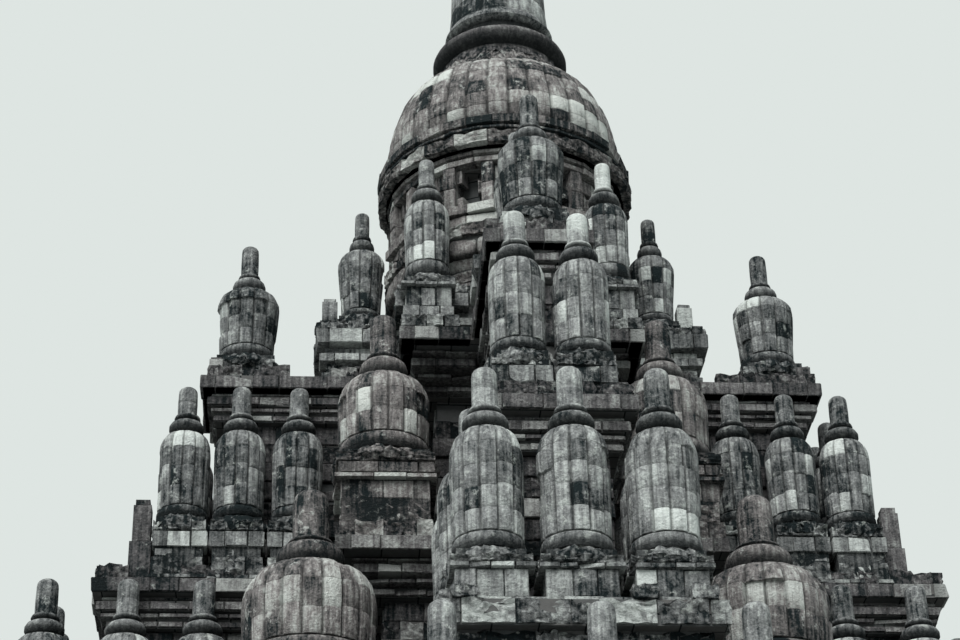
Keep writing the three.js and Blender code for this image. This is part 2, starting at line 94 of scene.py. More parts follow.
def start_material(name):
    """A material without nodes, its tree, and the place on the object that its patterns follow."""
    material = bpy.data.materials.new(name)
    material.use_nodes = True
    tree = material.node_tree
    tree.nodes.clear()
    return material, tree, add_node(tree, "ShaderNodeTexCoord")["Object"]


def finish_stone(tree, colour, height, strength, distance, roughness, specular):
    """Dry stone of this colour, with its relief."""
    bump = add_node(tree, "ShaderNodeBump", {"Strength": strength, "Distance": distance}, {"Height": height})
    shader = add_node(tree, "ShaderNodeBsdfPrincipled",
                      {"Roughness": roughness, "Specular IOR Level": specular},
                      {"Base Color": colour, "Normal": bump["Normal"]})
    add_node(tree, "ShaderNodeOutputMaterial", None, {"Surface": shader["BSDF"]})


def weathered_andesite(name, soot, stone, bleached, lichen, lichen_share):
    """Rough volcanic stone, hand dressed: each block has a tone of its own, with rain streaks 60 mm wide down
    the face, crusts of pale lichen 50 to 160 mm across and small open pores. A darkening value adds dark
    algae in the joints and painted shade in grooves, hollows, joints and under overhangs. Where a block is
    carved, its foliage stands in lumps 100 mm across with painted shade in the hollows between them."""
    material, tree, place = start_material(name)
    tone, painted_shade_and_grime, carved = (add_node(tree, "ShaderNodeAttribute", attribute_name=key)["Fac"]
                          for key in ("tone", "painted_shade_and_grime", "carved"))
    down_the_face = add_node(tree, "ShaderNodeMapping", {"Scale": (16, 16, 1.3)}, {"Vector": place})[0]
    blotch, streak, mottle, grain = (
        add_node(tree, "ShaderNodeTexNoise", {"Scale": scale, "Detail": detail, "Roughness": roughness},
                 {"Vector": spot})
        for spot, scale, detail, roughness in (
            (place, 1 / 0.6, 5, 0.62), (down_the_face, 1.0, 4, 0.6), (place, 1 / 0.16, 6, 0.72),
            (place, 1 / 0.045, 4, 0.75)))
    bent_place = add_node(tree, "ShaderNodeVectorMath", {1: (0.2, 0.2, 0.2)}, {0: mottle["Color"], 2: place},
                          operation="MULTIPLY_ADD")[0]
    lump = add_node(tree, "ShaderNodeTexVoronoi", {"Scale": 1 / 0.1}, {"Vector": bent_place})["Distance"]
    cut = add_node(tree, "ShaderNodeMath", None, {0: carved, 1: lump}, operation="MULTIPLY")[0]
    pores = add_node(tree, "ShaderNodeTexVoronoi", {"Scale": 1 / 0.035}, {"Vector": place})["Distance"]
    patterns = [noise["Fac"] for noise in (blotch, streak, mottle, grain)]
    noise_amounts = (0.95, 0.95, 0.65, 0.65)
    level, height = tone, grain["Fac"]
    # cut paints shade into the carving: the colour darkens towards the edges of the lumps, in the hollows
    # between them, which are only a bump.
    for source, amount in ((carved, 0.22), (cut, -0.6), *zip(patterns, noise_amounts)):
        level = add_node(tree, "ShaderNodeMath", {1: amount}, {0: source, 2: level},
                         operation="MULTIPLY_ADD")[0]
    noise_middle = sum(noise_amounts) / 2
    level = add_node(tree, "ShaderNodeMath", {1: noise_middle}, {0: level}, operation="SUBTRACT")[0]
    for source, amount in ((pores, 0.35), (mottle["Fac"], 1.8), (cut, -2.2)):
        height = add_node(tree, "ShaderNodeMath", {1: amount}, {0: source, 2: height},
                          operation="MULTIPLY_ADD")[0]
    ramp = add_node(tree, "ShaderNodeValToRGB", None, {"Fac": level})["Color"]
    stops = ramp.node.color_ramp.elements
    stops.new(0.48)
    for stop, position, code in zip(stops, (0.12, 0.48, 0.92), (soot, stone, bleached)):
        stop.position = position
        stop.color = linear(code)
    crusted = add_node(tree, "ShaderNodeMapRange",
                       {"From Min": 0.6 - lichen_share, "From Max": 0.68 - lichen_share, "To Max": 0.6},
                       {"Value": mottle["Fac"]})["Result"]
    with_crust = add_node(tree, "ShaderNodeMix", {7: linear(lichen)}, {0: crusted, 6: ramp},
                          data_type="RGBA")[2]
    # Painted shade and grime: the darkening value mixes the colour towards near black, as algae and grime in
    # the joints and as painted shade in grooves, hollows and under overhangs.
    shade_and_grime_mix = add_node(tree, "ShaderNodeMath", {1: 0.92}, {0: painted_shade_and_grime}, operation="MULTIPLY", use_clamp=True)[0]
    colour = add_node(tree, "ShaderNodeMix", {7: linear("#0b1112")}, {0: shade_and_grime_mix, 6: with_crust},
                      data_type="RGBA")[2]
    finish_stone(tree, colour, height, 0.9, 0.035, 0.92, 0.25)
    return material


andesites = {slot: weathered_andesite(name, *codes, lichen_share) for slot, name, codes, lichen_share in (
    ("dark_andesite", "dark weathered andesite", ("#0e191b", "#666464", "#b0b3af", "#aeb5ae"), 0.0),
    ("grey_andesite", "grey weathered andesite", ("#121e20", "#858786", "#d4dad5", "#c3c9c2"), 0.02),
    ("brown_andesite", "brown weathered andesite", ("#131e20", "#837f7d", "#cfd3cd", "#c6cbc5"), 0.02),
    ("pale_andesite", "pale newer andesite", ("#3a4041", "#a5a6a3", "#dde1dc", "#d5dad4"), 0.03))}


def squared_blocks(name, joint, stone, face, upward_face_colour):
    """The stone behind the facing, inside the rooms and on the floors: squared blocks 600 by 350 mm with
    open joints, drawn on each face in the direction that it faces. Faces that point up are paler, in patches."""
    material, tree, place = start_material(name)
    facing = add_node(tree, "ShaderNodeNewGeometry")["Normal"]
    x, y, z = add_node(tree, "ShaderNodeSeparateXYZ", None, {"Vector": place})
    nx, _, nz = add_node(tree, "ShaderNodeSeparateXYZ", None, {"Vector": facing})
    steep_x, steep_z = (add_node(tree, "ShaderNodeMath", None, {0: part}, operation="ABSOLUTE")[0]
                        for part in (nx, nz))
    faces_x, faces_z, faces_upward = (
        add_node(tree, "ShaderNodeMath", {1: 0.7}, {0: part}, operation="GREATER_THAN")[0]
        for part in (steep_x, steep_z, nz))
    along = add_node(tree, "ShaderNodeMix", None, {"Factor": faces_x, "A": x, "B": y})[0]
    rise = add_node(tree, "ShaderNodeMix", None, {"Factor": faces_z, "A": z, "B": y})[0]
    on_face = add_node(tree, "ShaderNodeCombineXYZ", None, {"X": along, "Y": rise})[0]
    blocks = add_node(tree, "ShaderNodeTexBrick",
                      {"Color1": linear(stone), "Color2": linear(face), "Mortar": linear(joint), "Scale": 1.0,
                       "Mortar Size": 0.012, "Mortar Smooth": 0.3, "Brick Width": 0.6, "Row Height": 0.35},
                      {"Vector": on_face})
    grain, blotch = (
        add_node(tree, "ShaderNodeTexNoise", {"Scale": scale, "Detail": detail, "Roughness": rough},
                 {"Vector": place})["Fac"]
        for scale, detail, rough in ((1 / 0.12, 6, 0.7), (1 / 0.9, 5, 0.65)))
    patchy = add_node(tree, "ShaderNodeMapRange", {"From Min": 0.35, "From Max": 0.65, "To Max": 0.75},
                      {"Value": blotch})["Result"]
    topped = add_node(tree, "ShaderNodeMath", None, {0: faces_upward, 1: patchy}, operation="MULTIPLY")[0]
    weathered = add_node(tree, "ShaderNodeMix", {7: linear(upward_face_colour)}, {0: topped, 6: blocks["Color"]},
                         data_type="RGBA")[2]
    jointed = add_node(tree, "ShaderNodeMix", {7: linear(joint)}, {0: blocks["Fac"], 6: weathered},
                       data_type="RGBA")[2]
    colour = add_node(tree, "ShaderNodeMix", {0: 0.6}, {6: jointed, 7: grain}, data_type="RGBA",
                      blend_type="MULTIPLY")[2]
    relief = add_node(tree, "ShaderNodeMath", {1: -0.8}, {0: blocks["Fac"], 2: grain},
                      operation="MULTIPLY_ADD")[0]
    finish_stone(tree, colour, relief, 0.7, 0.02, 0.95, 0.2)
    return material


inner_stone = squared_blocks("squared andesite behind the facing", "#10191b", "#5c5f5f", "#6e6d6b", "#8d8e8a")
for name in ("base_terrace", "stair_cheek_left", "stair_cheek_right", "body_foot", "wall_left", "wall_right",
             "wall_back", "wall_front_left", "wall_front_right", "wall_over_doorway", "porch_wall_left",
             "porch_wall_right", "porch_lintel", "main_cornice", "attic_course", "roof_stage_lower",
             "roof_stage_upper", "crown_drum"):
    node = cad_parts[name]
    node.data.materials.clear()
    node.data.materials.append(inner_stone)


def start_edit():
    bpy.ops.object.mode_set(mode="EDIT")
    bpy.ops.mesh.select_mode(type="VERT")
    bpy.ops.mesh.select_all(action="SELECT")


def select_where(piece, wanted):
    """Selects the vertices whose place passes the test, and leaves the piece in edit mode."""
    bpy.ops.object.mode_set(mode="OBJECT")
    for vertex in piece.data.vertices:
        vertex.select = wanted(vertex.co)
    for parts in (piece.data.edges, piece.data.polygons):
        for part in parts:
            part.select = all(piece.data.vertices[i].select for i in part.vertices)
    bpy.ops.object.mode_set(mode="EDIT")


def take_shape(piece):
    """The finished model of a repeated stone, as its points and faces. The object itself goes."""
    bpy.ops.object.mode_set(mode="OBJECT")
    mesh = piece.data
    points = np.array([v.co for v in mesh.vertices], float)
    faces = [tuple(face.vertices) for face in mesh.polygons]
    bpy.data.objects.remove(piece)
    bpy.data.meshes.remove(mesh)
    return points, faces


def model_stone(front):
    """One facing stone: a block with its front edges worn, rounded as a band, sloped as a weathering,
    or carved all over in weathered foliage."""
    bpy.ops.object.select_all(action="DESELECT")
    bpy.ops.mesh.primitive_cube_add(size=1, location=(0, 0, 0))
    piece = bpy.context.object
    start_edit()
    bpy.ops.transform.resize(value=(stone_length, stone_depth, stone_height))
    bpy.ops.transform.translate(value=(0, stone_depth / 2, stone_height / 2))
    if front == "round":
        bpy.ops.mesh.select_mode(type="EDGE")
        bpy.ops.object.mode_set(mode="OBJECT")
        for edge in piece.data.edges:
            ends = [piece.data.vertices[i].co for i in edge.vertices]
            edge.select = all(end.y < 0.01 for end in ends) and abs(ends[0].z - ends[1].z) < 0.01
        bpy.ops.object.mode_set(mode="EDIT")
        bpy.ops.mesh.bevel(offset=0.1, segments=3, affect="EDGES")
    elif front == "slope":
        select_where(piece, lambda co: co.y < 0.01 and co.z < 0.01)
        bpy.ops.transform.translate(value=(0, 0.09, 0))
    else:
        select_where(piece, lambda co: co.y < 0.01)
        if front == "worn":
            bpy.ops.mesh.bevel(offset=0.014, segments=1, affect="EDGES")
        else:
            bpy.ops.mesh.subdivide(number_cuts=4)
    points, faces = take_shape(piece)
    # Painted shade and grime: a little grime on the front face, and from 50 mm back the sides, top and
    # underside are painted dark, as the shade in the joints and under a projecting stone.
    painted_shade_and_grime = 0.12 + 0.5 * np.clip(points[:, 1] / 0.05, 0, 1)
    if front.startswith("carved"):
        inside = (points[:, 1] < 0.01) & (np.abs(points[:, 0]) < stone_length / 2 - 0.01)
        relief = np.array([chance.uniform(-0.03, 0.045) for _ in points])
        points[inside, 1] += relief[inside]
        # Painted shade in the carving: the further back a point is cut, the darker it is painted.
        painted_shade_and_grime = np.where(inside, np.clip(0.2 + relief * 9, 0.05, 0.6), painted_shade_and_grime)
        ragged = np.array([chance.uniform(-0.07, 0.03) for _ in points])
        on_top = inside & (points[:, 2] > stone_height - 0.01)
        points[on_top, 2] += ragged[on_top]
    return points, faces, painted_shade_and_grime


stones = {front: model_stone(front)
          for front in ("worn", "round", "slope", "carved 1", "carved 2", "carved 3")}


def put(pile, points, faces, tone, painted_shade_and_grime, carved=0.0):
    """Adds one shape to a pile of shapes that becomes one piece."""
    columns = [np.broadcast_to(values, len(points)) for values in (tone, painted_shade_and_grime, carved)]
    pile.append((points, faces, *columns))


def stone_tone(bleached=0.1, sooty=0.18):
    """How light one block is: most are near the middle, a few are bleached and a few are sooty."""
    draw = chance.random()
    if draw < bleached:
        return chance.uniform(0.68, 0.98)
    if draw < bleached + sooty:
        return chance.uniform(0.18, 0.33)
    return chance.uniform(0.36, 0.58)


def put_stone(pile, front, start, along, outward, length, height, proud=0.0, tone=None, depth=stone_depth,
              up=upward, shade=0.0):
    """One facing stone. It starts at a corner and runs along, its front standing proud of the face. The
    shade is painted shade that darkens it, for a wall that light seldom reaches; below zero it is painted
    light that makes it paler."""
    shape = "carved " + chance.choice("123") if front == "carved" else front
    points, faces, painted_shade_and_grime = stones[shape]
    points = points.copy()
    if front == "carved":
        mirror = chance.choice((-1, 1))
        points[:, 0] *= length / stone_length * mirror
        faces = [face[::mirror] for face in faces]
    else:
        points[:, 0] += np.sign(points[:, 0]) * (length - stone_length) / 2
    points[:, 1] *= depth / stone_depth
    points[:, 2] *= height / stone_height
    points[:, 0] += length / 2
    in_front = points[:, 1] < 0.02
    points[in_front, 1] += np.array([chance.gauss(0, 0.007) for _ in range(int(in_front.sum()))])
    if chance.random() < 0.2:
        corner = points[chance.choice(np.flatnonzero(in_front).tolist())].copy()
        near = np.linalg.norm((points - corner) * [1, 0.5, 1], axis=1) < 0.1
        points[near, 1] += chance.uniform(0.03, 0.09)
    world = (np.array(start, float)[None, :] + points[:, :1] * along[None, :]
             + (proud - points[:, 1:2]) * outward[None, :] + points[:, 2:3] * up[None, :])
    put(pile, world, faces, (stone_tone() if tone is None else tone) - shade, painted_shade_and_grime, float(front == "carved"))


def left_open(gaps, corner, edge, along, outward, z0, z1):
    """The stretches of a course that stay open, measured along it from its corner. gaps are
    (low corner, high corner) boxes, such as a niche."""
    side = 0 if abs(outward[0]) > 0.5 else 1
    plane = (corner + edge * 0.5)[side]
    for low, high in gaps:
        if low[2] < z1 and z0 < high[2] and low[side] - 0.2 <= plane <= high[side] + 0.2:
            yield sorted((bound[1 - side] - corner[1 - side]) * along[1 - side] for bound in (low, high))


def lay_course(pile, outline, z0, z1, proud, length, front="worn", turn=0, missing=0.0, gaps=(), uneven=0.014,
               depth=stone_depth, shade=0.0):
    """One course of stones round an outline, bonded at the corners by turns."""
    count = len(outline)
    corners = [np.array((x, y, z0)) for x, y in outline]
    edges = [corners[(i + 1) % count] - corners[i] for i in range(count)]
    for i, edge in enumerate(edges):
        run = np.linalg.norm(edge)
        along = edge / run
        outward = np.array((along[1], -along[0], 0.0))
        before, after = edges[i - 1], edges[(i + 1) % count]
        starts_out = before[0] * edge[1] - before[1] * edge[0] > 0
        ends_out = edge[0] * after[1] - edge[1] * after[0] > 0
        owns_start = (i + turn) % 2 == 0
        begin = (-proud if owns_start else depth - proud + joint_width) if starts_out else proud + joint_width
        finish = run - (proud + joint_width)
        if ends_out:
            finish = run + proud if (i + 1 + turn) % 2 == 1 else run - depth + proud - joint_width
        pieces = [(begin, finish)]
        for a, b in left_open(gaps, corners[i], edge, along, outward, z0, z1):
            pieces = [part for start, end in pieces
                      for part in ((start, min(end, a)), (max(start, b), end)) if part[1] - part[0] > 0.08]
        for start, end in pieces:
            number = max(1, round((end - start) / length))
            cuts = [start + (end - start) * k / number for k in range(number + 1)]
            for k in range(1, number):
                cuts[k] += chance.uniform(-0.24, 0.24) * (end - start) / number
            for a, b in zip(cuts[:-1], cuts[1:]):
                if b - a < 0.05 or chance.random() < missing:
                    continue
                put_stone(pile, front, corners[i] + along * a, along, outward, b - a - joint_width,
                          z1 - z0 - joint_width, proud + chance.uniform(-uneven, uneven), depth=depth,
                          shade=shade)


def put_block(pile, low, high, tone=0.2, painted_shade_and_grime=0.6):
    """A plain squared core, hidden behind facing stones."""
    (x0, y0, z0), (x1, y1, z1) = low, high
    points = np.array([(x0, y0, z0), (x1, y0, z0), (x1, y1, z0), (x0, y1, z0),
                       (x0, y0, z1), (x1, y0, z1), (x1, y1, z1), (x0, y1, z1)], float)
    faces = [(0, 3, 2, 1), (4, 5, 6, 7), (0, 1, 5, 4), (1, 2, 6, 5), (2, 3, 7, 6), (3, 0, 4, 7)]
    put(pile, points, faces, tone, painted_shade_and_grime)


def finish_piece(name, pile, slot, *nodes):
    """Makes a pile of shapes one piece that rides on the building, and may stand for CAD nodes."""
    points, faces, start = [], [], 0
    for shape_points, shape_faces, *_ in pile:
        points.append(shape_points)
        faces.extend([tuple(i + start for i in face) for face in shape_faces])
        start += len(shape_points)
    mesh = bpy.data.meshes.new(name)
    mesh.from_pydata(np.concatenate(points).tolist(), [], faces)
    for key, column in (("tone", 2), ("painted_shade_and_grime", 3), ("carved", 4)):
        values = np.concatenate([shape[column] for shape in pile])
        mesh.attributes.new(key, "FLOAT", "POINT").data.foreach_set("value", values.astype(np.float32))
    mesh.shade_smooth()
    mesh.set_sharp_from_angle(angle=math.radians(36))
    mesh.materials.append(andesites[slot])
    piece = bpy.data.objects.new(name, mesh)
    bpy.context.scene.collection.objects.link(piece)
    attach(piece, "root")
    if nodes:
        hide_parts(*nodes)


def cross_outline(plan, step=0.0, core=0.0, core_y=None):
    """The cross-shaped outline of a stage: side, front and back reach, half widths of the side and
    the front arms, and the half sides of the core, all grown by a moulding's step."""
    side, front, back, side_arm, front_arm, core_x, core_y0 = (value + step for value in plan)
    core_x += core
    core_y0 += core if core_y is None else core_y
    points = [(side, -side_arm), (side, side_arm), (core_x, side_arm), (core_x, core_y0),
              (front_arm, core_y0), (front_arm, back), (-front_arm, back), (-front_arm, core_y0),
              (-core_x, core_y0), (-core_x, side_arm), (-side, side_arm), (-side, -side_arm),
              (-core_x, -side_arm), (-core_x, -core_y0), (-front_arm, -core_y0), (-front_arm, -front),
              (front_arm, -front), (front_arm, -core_y0), (core_x, -core_y0), (core_x, -side_arm)]
    return [(x, y + axis_y) for x, y in points]


terrace_plan = (11.0, 13.6, 11.0, 5.0, 4.8, 10.2, 10.2)
terrace_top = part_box("base_terrace")[1].z
pile = []
stair_gap = ((-2.2, axis_y - 14.2, -1), (2.2, axis_y - 13.0, 3))
for turn, (z0, z1, step, proud, front) in enumerate((
        (0.0, 0.24, 0, 0.04, "worn"), (0.24, 0.45, 0, 0.03, "slope"), (0.45, 0.7, -0.18, 0.05, "round"),
        (0.7, 1.0, -0.33, 0.03, "worn"), (1.0, 1.3, -0.33, 0.03, "worn"), (1.3, 1.6, -0.33, 0.03, "worn"),
        (1.6, 1.9, -0.33, 0.03, "worn"), (1.9, 2.2, -0.18, 0.04, "worn"), (2.2, 2.4, 0, 0.03, "worn"),
        (2.4, 2.6, 0, 0.04, "worn"))):
    lay_course(pile, cross_outline(terrace_plan, step), z0, z1, proud, 0.62, front, turn,
               missing=0.01, gaps=[stair_gap])
finish_piece("terrace_facing", pile, "dark_andesite")

# The stair: thirteen treads, each a row of long worn blocks laid over the one below, between two
# cheeks whose coping stones follow a long curve down to a rounded nose.
step_count, step_rise, step_run, stair_half = 13, 0.2, 0.3, 1.49
terrace_front = axis_y - terrace_plan[1]
across, inward = np.array((1.0, 0.0, 0.0)), np.array((0.0, 1.0, 0.0))
outward_front = -inward


def lay_steps(pile, number, rise, run, half, top, back_y):
    """A flight of block treads that ends at a landing of the given height."""
    for k in range(number):
        front_y = back_y - run * (number - k)
        z0 = top - rise * (number - k)
        put_block(pile, (-half + 0.02, front_y + 0.04, z0), (half - 0.02, back_y, z0 + rise - 0.03))
        cuts = [-half] + [half * (2 * j / 5 - 1) + chance.uniform(-0.12, 0.12) for j in range(1, 5)] + [half]
        for a, b in zip(cuts[:-1], cuts[1:]):
            put_stone(pile, "worn", (a, front_y, z0), across, outward_front, b - a - joint_width,
                      rise - 0.004, depth=run + 0.06)


pile = []
lay_steps(pile, step_count, step_rise, step_run, stair_half, terrace_top, terrace_front - 0.001)
finish_piece("stair_treads", pile, "grey_andesite", "front_stair")

cheek_nose, nose_radius, cheek_course = 0.5, 0.44, 0.3
nose_y, nose_z = nose_radius - (step_count * step_run + cheek_nose), nose_radius + 0.12
cheek_line = [(nose_y + nose_radius * math.cos(math.radians(angle)),
               nose_z + nose_radius * math.sin(math.radians(angle))) for angle in range(180, 53, -18)]
bend_start, bend, bend_end = cheek_line[-1], (-0.55 * step_count * step_run, 1.5), (-0.7, terrace_top + 0.5)
for k in range(1, 9):
    share = k / 8
    cheek_line.append(tuple((1 - share) ** 2 * a + 2 * share * (1 - share) * b + share ** 2 * c
                            for a, b, c in zip(bend_start, bend, bend_end)))
cheek_line.append((-0.02, terrace_top + 0.5))
for name in ("left", "right"):
    pile = []
    low_x, high_x = (corner.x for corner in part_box(f"stair_cheek_{name}"))
    for (ya, za), (yb, zb) in zip(cheek_line[:-1], cheek_line[1:]):
        run = math.hypot(yb - ya, zb - za)
        along = np.array((0.0, (yb - ya) / run, (zb - za) / run))
        normal = np.array((0.0, -along[2], along[1]))
        put_stone(pile, "worn", (high_x + 0.03, ya + terrace_front, za), along, normal, run - joint_width / 2,
                  high_x - low_x + 0.06, 0.04, depth=0.16, up=-across)
    for course in range(10):
        z0 = cheek_course * course
        reach = [y for y, z in cheek_line if z >= z0 + cheek_course + 0.04]
        y_nose = min(reach) + 0.05 if reach else -0.75
        number = max(1, round(-y_nose / 0.6))
        for k in range(number):
            a = y_nose * (1 - k / number)
            length = -y_nose / number - joint_width
            for x, facing in ((low_x, -1), (high_x, 1)):
                start_y = a if facing > 0 else a + length
                put_stone(pile, "worn", (x, start_y + terrace_front, z0), inward * facing, across * facing,
                          length, cheek_course - joint_width, 0.02, depth=0.1)
    finish_piece(f"stair_cheek_{name}_facing", pile, "dark_andesite")

# The balustrade round the gallery: a low wall of upright slabs carved on both faces, under a coping
# with small ribbed finials. It is open at the landing of the stair.
rail_inset, rail_thickness, rail_height, gate_half, rail_spacing = 0.25, 0.45, 1.15, 1.7, 2.9
rail_top = terrace_top + rail_height
rail_pile = []
gate = ((-gate_half, axis_y - 14.2, 0), (gate_half, axis_y - 12.0, 9))
for outline in (cross_outline(terrace_plan, -rail_inset),
                cross_outline(terrace_plan, -rail_inset - rail_thickness)[::-1]):
    for z0, z1, proud, length, front, turn, depth in (
            (0.0, 0.2, 0.05, 0.6, "round", 0, 0.2), (0.21, 0.58, 0.0, 0.62, "worn", 1, 0.18),
            (0.59, 0.94, 0.0, 0.55, "carved", 0, 0.18), (0.95, rail_height, 0.06, 0.7, "worn", 1, 0.33)):
        lay_course(rail_pile, outline, terrace_top + z0, terrace_top + z1, proud, length, front, turn,
                   gaps=[gate], depth=depth)
middle_line = cross_outline(terrace_plan, -rail_inset - rail_thickness / 2)
half = rail_thickness / 2 - 0.03
rail_spots = []
for (x0, y0), (x1, y1) in zip(middle_line, middle_line[1:] + middle_line[:1]):
    parts = [((x0, y0), (x1, y1))]
    if y0 == y1 and abs(y0 - terrace_front) < 1:
        parts = [((x0, y0), (-gate_half, y0)), ((gate_half, y0), (x1, y1))]
    for (xa, ya), (xb, yb) in parts:
        past_end = 0.0 if gate_half in (abs(xa), abs(xb)) else half
        put_block(rail_pile, (min(xa, xb) - past_end, min(ya, yb) - half, terrace_top),
                  (max(xa, xb) + past_end, max(ya, yb) + half, rail_top - 0.02))
    count = round(math.hypot(x1 - x0, y1 - y0) / rail_spacing)
    for k in range(count):
        share = (k + 0.5) / count
        spot = (x0 + (x1 - x0) * share, y0 + (y1 - y0) * share)
        if abs(spot[0]) > gate_half + 0.2 or spot[1] > axis_y:
            rail_spots.append(spot)

# The ratna finials: each is a ribbed urn of upright staves, built in courses of cut stone, on a squared
# pedestal with a carved cap. A dark ring and a round-topped stone spire close it.


def round_ring(middle, half, inner, outer, number):
    """The profile of a ring with a round edge."""
    angles = [-math.pi / 2 + math.pi * (k + 0.5) / number for k in range(number)]
    return [(middle + half * math.sin(angle), inner + (outer - inner) * math.cos(angle), "ring")
            for angle in angles]


def urn_rings(kind):
    """The profile of a ratna from its seat to the tip of its spire, as (height, radius, zone)."""
    radius, seat, top, cap, shoulder, foot = (
        kind[key] for key in ("radius", "seat", "top", "cap", "shoulder", "foot"))
    crown, bead = kind["ring"] - kind["ring_half"], kind["ring"] + kind["ring_half"]
    outer, spire = radius * kind["ring_share"], radius * kind["spire_share"]
    scale = min(1.0, radius / 0.4)
    half_band = (seat - 0.035 * scale - cap) / 2
    rings = [(cap - drop * scale, reach * radius, "cushion")
             for drop, reach in ((0.24, 1.08), (0.15, 1.17), (0.07, 1.12), (0.01, 1.0), (-0.01, 0.88))]
    for turn in map(math.radians, (-66, -22, 22, 66)):
        rings.append((cap + 0.02 * scale + half_band * (1 + math.sin(turn)),
                      (foot - 0.04 + 0.08 * math.cos(turn)) * radius, "seat"))
    rings += [(seat - drop * scale, (foot - 0.11) * radius, "groove") for drop in (0.01, 0.004)]
    profile = [(seat + (shoulder - seat) * share, (foot + (1 - foot) * reach) * radius)
               for share, reach in ((0, 0), (0.3, 0.2), (0.6, 0.62), (0.85, 0.95), (1, 1.0))]
    neck = 0.5 * radius
    for k in range(1, 8):
        angle = k / 7 * math.pi / 2
        profile.append((shoulder + (crown - shoulder) * math.sin(angle),
                        neck + (radius - neck) * math.cos(angle) ** 0.7))
    heights, widths = zip(*profile)
    number = max(3, round((crown - seat) / kind["block"]))
    for c in range(number):
        z0, z1 = (seat + (crown - seat) * (c + k) / number for k in (0, 1))
        levels = [(z0 + 0.001, 0.006), (z0 + 0.01, 0.0)]
        if c == number - 1:
            levels += [(z0 + (z1 - z0) * share, 0.0) for share in (0.4, 0.7, 0.9)]
        elif z1 > shoulder:
            levels.append(((z0 + z1) / 2, 0.0))
        for z, inset in levels + [(z1 - 0.008, 0.0)]:
            rings.append((z, float(np.interp(z, heights, widths)) - inset, f"urn{c}"))
    rings.append((crown + 0.005, neck * 0.86, "hollow"))
    rings += round_ring(kind["ring"], kind["ring_half"] * 0.9, max(spire * 1.05, neck * 0.8), outer, 6)
    rings.append((bead - 0.005 * scale, spire * 1.02, "hollow"))
    for turn in map(math.radians, (-50, 0, 50)):
        rings.append((bead + (0.055 + 0.05 * math.sin(turn)) * scale,
                      spire * (1.05 + 0.23 * math.cos(turn)), "bead"))
    spire_joint = bead + (top - bead) * 0.5
    rings += [(bead + 0.115 * scale, spire * 0.98, "low spire"), (spire_joint - 0.01, spire, "low spire"),
              (spire_joint, spire * 0.975, "high spire"), (spire_joint + 0.01, spire, "high spire")]
    return rings + [(top - spire * 0.8 * share, spire * reach, "high spire") for share, reach in (
        (1, 0.97), (0.6, 0.93), (0.36, 0.82), (0.16, 0.62), (0.04, 0.35), (0.0, 0.1))]


def turn_rings(rings, sides):
    """A disc drawn up and widened or narrowed from ring to ring, as on a wheel."""
    bpy.ops.object.select_all(action="DESELECT")
    bpy.ops.mesh.primitive_circle_add(vertices=sides, radius=rings[0][1], fill_type="NGON",
                                      location=(0, 0, 0))
    piece = bpy.context.object
    start_edit()
    bpy.ops.transform.translate(value=(0, 0, rings[0][0]))
    for (z0, r0, _), (z1, r1, _) in zip(rings[:-1], rings[1:]):
        bpy.ops.mesh.extrude_region_move(TRANSFORM_OT_translate={"value": (0, 0, z1 - z0)})
        bpy.ops.transform.resize(value=(r1 / r0, r1 / r0, 1), center_override=(0, 0, z1))
    bpy.ops.mesh.select_all(action="SELECT")
    bpy.ops.mesh.normals_make_consistent(inside=False)
    return piece


def model_urn(rings, ribs, groove, steps=4):
    """The ribbed urn. The upright lines of points between two staves are drawn in as a groove."""
    sides = ribs * steps
    piece = turn_rings(rings, sides)
    courses = [z for z, _, zone in rings if zone.startswith("urn")] or [0.0]
    low, high = min(courses) - 0.001, max(courses) + 0.001
    fade = low + (high - low) * 0.86

    def line(co):
        return round((math.atan2(co.y, co.x) - math.pi / 2) / (2 * math.pi) * sides) % steps

    for floor, ceiling, depth in ((low, fade, groove), (fade, high, groove * 0.5)) if groove else ():
        for wanted, share in ((0, 1 - depth), (steps // 2, 1 + depth * 0.35)):
            select_where(piece, lambda co: floor <= co.z < ceiling and line(co) == wanted)
            bpy.ops.transform.resize(value=(share, share, 1), center_override=(0, 0, 0))
    points, faces = take_shape(piece)
    heights = np.array([z for z, _, _ in rings])
    zones = [zone for _, _, zone in rings]
    names = sorted(set(zones))
    nearest = np.abs(points[:, 2:3] - heights[None, :]).argmin(axis=1)
    turns = np.arctan2(points[:, 1], points[:, 0]) - math.pi / 2
    stave = np.floor((turns / (2 * math.pi) * ribs) % ribs + 1e-6).astype(int) % ribs
    lines = np.rint(turns / (2 * math.pi) * sides).astype(int) % steps
    zone_of = np.array([names.index(zones[ring]) for ring in nearest])
    ribbed = np.array([zones[ring].startswith("urn") for ring in nearest])
    if steps > 2:
        pinch = np.where(lines == 1, -1.0, np.where(lines == steps - 1, 1.0, 0.0)) * ribbed * math.pi / sides
        c, s = np.cos(pinch), np.sin(pinch)
        points[:, :2] = np.stack((points[:, 0] * c - points[:, 1] * s,
                                  points[:, 0] * s + points[:, 1] * c), 1)
    # Painted shade and dark joints: grooves and hollows are painted darkest, each ring, seat and bead is
    # painted dark on its lower half, the grooves between staves are painted dark, and the foot of each course
    # is a little darker at its joint.
    painted_shade_and_grime = np.zeros(len(points))
    for index, ring in enumerate(nearest):
        zone = zones[ring]
        if zone in ("groove", "hollow"):
            painted_shade_and_grime[index] = 1.0
        elif zone in ("ring", "seat", "bead"):
            levels = heights[np.array(zones) == zone]
            above = (points[index, 2] - levels.mean()) / np.ptp(levels)
            painted_shade_and_grime[index] = np.interp(above, (-0.5, -0.1, 0.3), (1.0, 0.85, 0.0))
        elif ribbed[index] and lines[index] == 0:
            painted_shade_and_grime[index] = 0.62
        elif ribbed[index] and zones[ring - 1] != zone:
            painted_shade_and_grime[index] = 0.22
    return {"points": points, "faces": faces, "zone": zone_of, "names": names, "stave": stave, "ribs": ribs,
            "painted_shade_and_grime": painted_shade_and_grime, "ribbed": ribbed}


